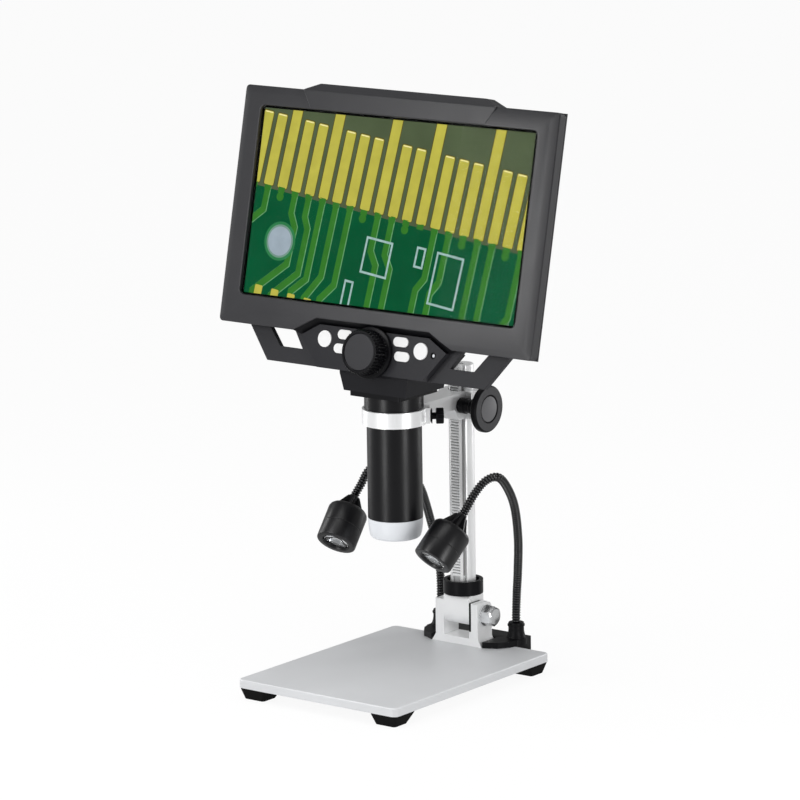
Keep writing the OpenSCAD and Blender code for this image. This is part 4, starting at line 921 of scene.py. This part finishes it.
# where each neck's bend starts and ends, in metres
RIGHT_BEND = (0.0537, 0.050, 0.110), (0.0537, 0.022, 0.128)
LEFT_BEND = (-0.028, 0.048, 0.122), (-0.046, 0.022, 0.128)
NECK_R = 2.9
RIB_PITCH = 1.8
RIB_SWELL = (0.70, 0.93, 1.0, 0.93)


def smooth_route(route, last, per_leg=24):
    """Points along a smooth curve through the route, square to the socket and to the lamp."""
    points = [Vector(p) for p in route]

    def slope(i):
        if i == 0:
            return Z * (points[1] - points[0]).length
        if i == len(points) - 1:
            return last * (points[i] - points[i - 1]).length
        return (points[i + 1] - points[i - 1]) / 2

    curve = []
    for i in range(len(points) - 1):
        for k in range(per_leg):
            t = k / per_leg
            curve.append(
                (2 * t**3 - 3 * t**2 + 1) * points[i] + (t**3 - 2 * t**2 + t) * slope(i)
                + (3 * t**2 - 2 * t**3) * points[i + 1] + (t**3 - t**2) * slope(i + 1)
            )
    return curve + [points[-1]]


def even(curve, step):
    """The same curve with its points one step apart."""
    made, left = [curve[0]], step
    for a, b in zip(curve, curve[1:]):
        length = (b - a).length
        while length >= left:
            a = a + (b - a) * (left / length)
            length = (b - a).length
            made.append(a.copy())
            left = step
        left -= length
    return made + [curve[-1]]


def neck(side, lens, route, start, end):
    """A metal gooseneck: a tube with a rib at each turn of its spiral."""
    name, body = side + "_lamp_neck", side + "_lamp"
    last = (lens - Vector(route[-1])).normalized()
    path = even(smooth_route(route, last), RIB_PITCH / len(RIB_SWELL))
    bm = bmesh.new()
    bmesh.ops.create_circle(bm, segments=18, radius=1.0)
    ring = bm.verts[:]
    edges = bm.edges[:]
    bm.faces.new(ring)
    done = Matrix.Identity(4)
    for i, p in enumerate(path):
        ahead = (path[min(i + 1, len(path) - 1)] - path[max(i - 1, 0)]).normalized()
        r = NECK_R * RIB_SWELL[i % len(RIB_SWELL)] * MM
        want = facing(p, ahead) @ Matrix.Scale(r, 4)
        if i:
            grown_ring = bmesh.ops.extrude_edge_only(bm, edges=edges)["geom"]
            ring = [g for g in grown_ring if isinstance(g, bmesh.types.BMVert)]
            edges = [
                g for g in grown_ring
                if isinstance(g, bmesh.types.BMEdge) and all(v in ring for v in g.verts)
            ]
        bmesh.ops.transform(bm, matrix=want @ done.inverted(), verts=ring)
        done = want
    bmesh.ops.contextual_create(bm, geom=edges)
    clean(bm, 1e-7)
    made = piece(name + "_ribbed", bm, None, NECK_BLACK, (name,), angle=60)
    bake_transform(made)


LAMP_R, LAMP_LEN = 13.0, 25.5
FINS, FIN_T, FIN_FOOT, FIN_TIP, FIN_BELOW = 6, 1.1, 9.4, 4.3, 1.0


def lamp(side, lens, route):
    """A lamp head: parted cylinder, finned hub, bright bowl, emitter and lens."""
    body = side + "_lamp"
    neck_end = Vector(route[-1])
    place = facing(lens, (neck_end - lens).normalized())
    end = (neck_end - lens).length
    r, back = LAMP_R, LAMP_LEN
    shell = [
        (0.0, 8.6), (4.6, 8.6), (8.6, 1.4), (8.9, 0.5), (9.4, 0.0), (12.1, 0.0), (12.8, 0.3),
        (r, 1.0), (r, 11.3), (r - 0.16, 11.45), (r - 0.16, 11.65), (r, 11.8), (r, back - 2.8),
        (r - 0.5, back - 1.4), (r - 1.4, back - 0.4), (r - 2.2, back - 0.1), (r - 2.9, back),
        (3.4, back), (3.3, end - 0.5), (3.1, end), (0.0, end),
    ]
    bm = turned(shell, 96, place)
    fin = [
        (1, back - 0.3), (FIN_FOOT, back - 0.3), (FIN_FOOT, back + 0.4),
        (FIN_TIP, end - FIN_BELOW), (1, end - FIN_BELOW),
    ]
    for i in range(FINS):
        turn = Matrix.Rotation(i * TAU / FINS, 4, "Z") @ Matrix.Rotation(math.pi / 2, 4, "X")
        add(bm, slab(fin, -FIN_T / 2, FIN_T / 2, place @ turn))
    piece(
        body + "_turned", bm, body, LAMP_BLACK, (body + "_shell",),
        0.15, 2, 28,
    )
    bowl = [(0.0, 8.0), (3.9, 8.0)]
    for t in (0.12, 0.25, 0.4, 0.55, 0.7, 0.85, 1):
        bowl.append((3.9 + 4.8 * t, 8.0 - 6.2 * t**1.7))
    bowl += [(8.8, 1.5), (4.1, 8.45), (0.0, 8.45)]
    piece(
        body + "_bowl", turned(bowl, 64, place), body, REFLECTOR, (), angle=40
    )
    chip = [(0, 7.95), (1.9, 7.95), (1.9, 7.2), (1.2, 6.6), (0, 6.4)]
    piece(body + "_emitter", turned(chip, 32, place), body, EMITTER, ())
    optic = [
        (0, 6.2), (2.4, 6.0), (4.1, 5.2), (6.8, 2.9), (8.5, 1.8), (8.7, 1.4), (8.3, 1.1),
        (5.6, 1.0), (4.6, 0.6), (2.8, 0.25), (0, 0.1),
    ]
    piece(
        body + "_optic_turned", turned(optic, 64, place), body, LENS, (body + "_optic",),
        angle=35,
    )


lamp("right", RIGHT_LENS, RIGHT_ROUTE)
lamp("left", LEFT_LENS, LEFT_ROUTE)
neck("right", RIGHT_LENS, RIGHT_ROUTE, *RIGHT_BEND)
neck("left", LEFT_LENS, LEFT_ROUTE, *LEFT_BEND)

# ---------------------------------------------------------------- floor, light and camera
FLOOR_SIZE = 30
FLOOR_MATT, FLOOR_WHITE = 0.86, 0.92
GLOSSY_FLOOR = 0.45
WORLD_LEVEL, GLOSSY_WORLD = 0.62, 0.25
AIM_HEIGHT = 0.25
# name, degrees from the front, distance and height, width and height of the box, power
SOFT_BOXES = (
    ("front_box", -4, 0.45, 0.11, 0.09, 0.22, 0.47),
    ("right_box", 81, 0.45, 0.11, 0.09, 0.22, 0.47),
    ("screen_box", -19, 0.385, 0.39, 0.16, 0.22, 0.6),
    ("left_rim", -86, 0.80, 0.3, 0.2, 0.6, 1.3),
    ("back_rim", 160, 0.80, 0.3, 0.2, 0.6, 1.3),
    ("top_box", 20, 0.3, 1.9, 1.2, 1.2, 10),
)


def white_floor():
    """A white floor that keeps the object's shadow and is dimmer in glossy reflections."""
    bpy.ops.mesh.primitive_plane_add(size=FLOOR_SIZE, location=(0, 0, 0))
    floor = bpy.context.object
    floor.name = "floor"
    look = bpy.data.materials.new("floor_white")
    look.use_nodes = True
    tree = look.node_tree
    tree.nodes.clear()
    out = tree.nodes.new("ShaderNodeOutputMaterial")
    mix = tree.nodes.new("ShaderNodeMixShader")
    matt = tree.nodes.new("ShaderNodeBsdfDiffuse")
    matt.inputs["Color"].default_value = (FLOOR_MATT, FLOOR_MATT, FLOOR_MATT, 1)
    white = tree.nodes.new("ShaderNodeEmission")
    white.inputs["Color"].default_value = (1, 1, 1, 1)
    path = tree.nodes.new("ShaderNodeLightPath")
    seen = math_node(tree, "MAXIMUM", {})
    shown = math_node(tree, "MAXIMUM", {})
    share = math_node(tree, "MULTIPLY", {1: FLOOR_WHITE})
    dim = math_node(tree, "MULTIPLY_ADD", {1: GLOSSY_FLOOR - 1, 2: 1})
    for source, target in (
        (path.outputs["Is Camera Ray"], seen.inputs[0]),
        (path.outputs["Is Glossy Ray"], seen.inputs[1]),
        (path.outputs["Is Glossy Ray"], dim.inputs[0]),
        (dim.outputs[0], white.inputs["Strength"]),
        (seen.outputs[0], shown.inputs[0]),
        (path.outputs["Is Transmission Ray"], shown.inputs[1]),
        (shown.outputs[0], share.inputs[0]),
        (share.outputs[0], mix.inputs[0]),
        (matt.outputs[0], mix.inputs[1]),
        (white.outputs[0], mix.inputs[2]),
        (mix.outputs[0], out.inputs["Surface"]),
    ):
        link(tree, source, target)
    floor.data.materials.append(look)


def surround():
    """An even white light from all round, dimmer in glossy reflections."""
    world = bpy.data.worlds.new("studio")
    bpy.context.scene.world = world
    world.use_nodes = True
    tree = world.node_tree
    back = tree.nodes["Background"]
    back.inputs["Color"].default_value = (1, 1, 1, 1)
    path = tree.nodes.new("ShaderNodeLightPath")
    level = math_node(tree, "MULTIPLY_ADD", {1: GLOSSY_WORLD - WORLD_LEVEL, 2: WORLD_LEVEL})
    link(tree, path.outputs["Is Glossy Ray"], level.inputs[0])
    link(tree, level.outputs[0], back.inputs["Strength"])


def soft_box(name, azimuth, distance, height, wide, tall, power):
    """A soft box turned towards the object's middle."""
    data = bpy.data.lights.new(name, "AREA")
    data.shape = "RECTANGLE"
    data.size, data.size_y = wide, tall
    data.energy = power
    box = bpy.data.objects.new(name, data)
    turn = math.radians(azimuth)
    place = Vector((math.sin(turn) * distance, -math.cos(turn) * distance, height))
    box.location = place
    box.visible_camera = False
    aim = Vector((0, 0, AIM_HEIGHT)) - place
    box.rotation_euler = aim.to_track_quat("-Z", "Y").to_euler()
    bpy.context.scene.collection.objects.link(box)


white_floor()
surround()
for row in SOFT_BOXES:
    soft_box(*row)

# the viewer's angles, the lens in pixels of a frame so wide, and the eye's place from there, in mm
AZIMUTH, ELEVATION, ROLL = math.radians(37.518), math.radians(11.754), math.radians(-0.825)
FOCAL_PX, FRAME_PX, SENSOR = 4551.09, 800.0, 36.0
EYE_RIGHT, EYE_UP, EYE_BACK = 5.137, 36.52, 2878.75
LOOKED_AT = Vector((0, -8, 149))


def camera():
    sin_a, cos_a = math.sin(AZIMUTH), math.cos(AZIMUTH)
    sin_e, cos_e = math.sin(ELEVATION), math.cos(ELEVATION)
    back = Vector((sin_a * cos_e, -cos_a * cos_e, sin_e))
    level = Vector((cos_a, sin_a, 0))
    steep = back.cross(level)
    right = math.cos(ROLL) * level + math.sin(ROLL) * steep
    up = -math.sin(ROLL) * level + math.cos(ROLL) * steep
    eye = right * EYE_RIGHT + up * EYE_UP + back * EYE_BACK + LOOKED_AT
    data = bpy.data.cameras.new("camera")
    data.sensor_width = SENSOR
    data.lens = FOCAL_PX * SENSOR / FRAME_PX
    data.clip_start, data.clip_end = 0.1, 50
    shown = bpy.data.objects.new("camera", data)
    turn = Matrix((right, up, back)).transposed().to_4x4()
    shown.matrix_world = Matrix.Translation(eye * MM) @ turn
    bpy.context.scene.collection.objects.link(shown)
    bpy.context.scene.camera = shown


camera()
bpy.context.scene.view_settings.view_transform = "Standard"
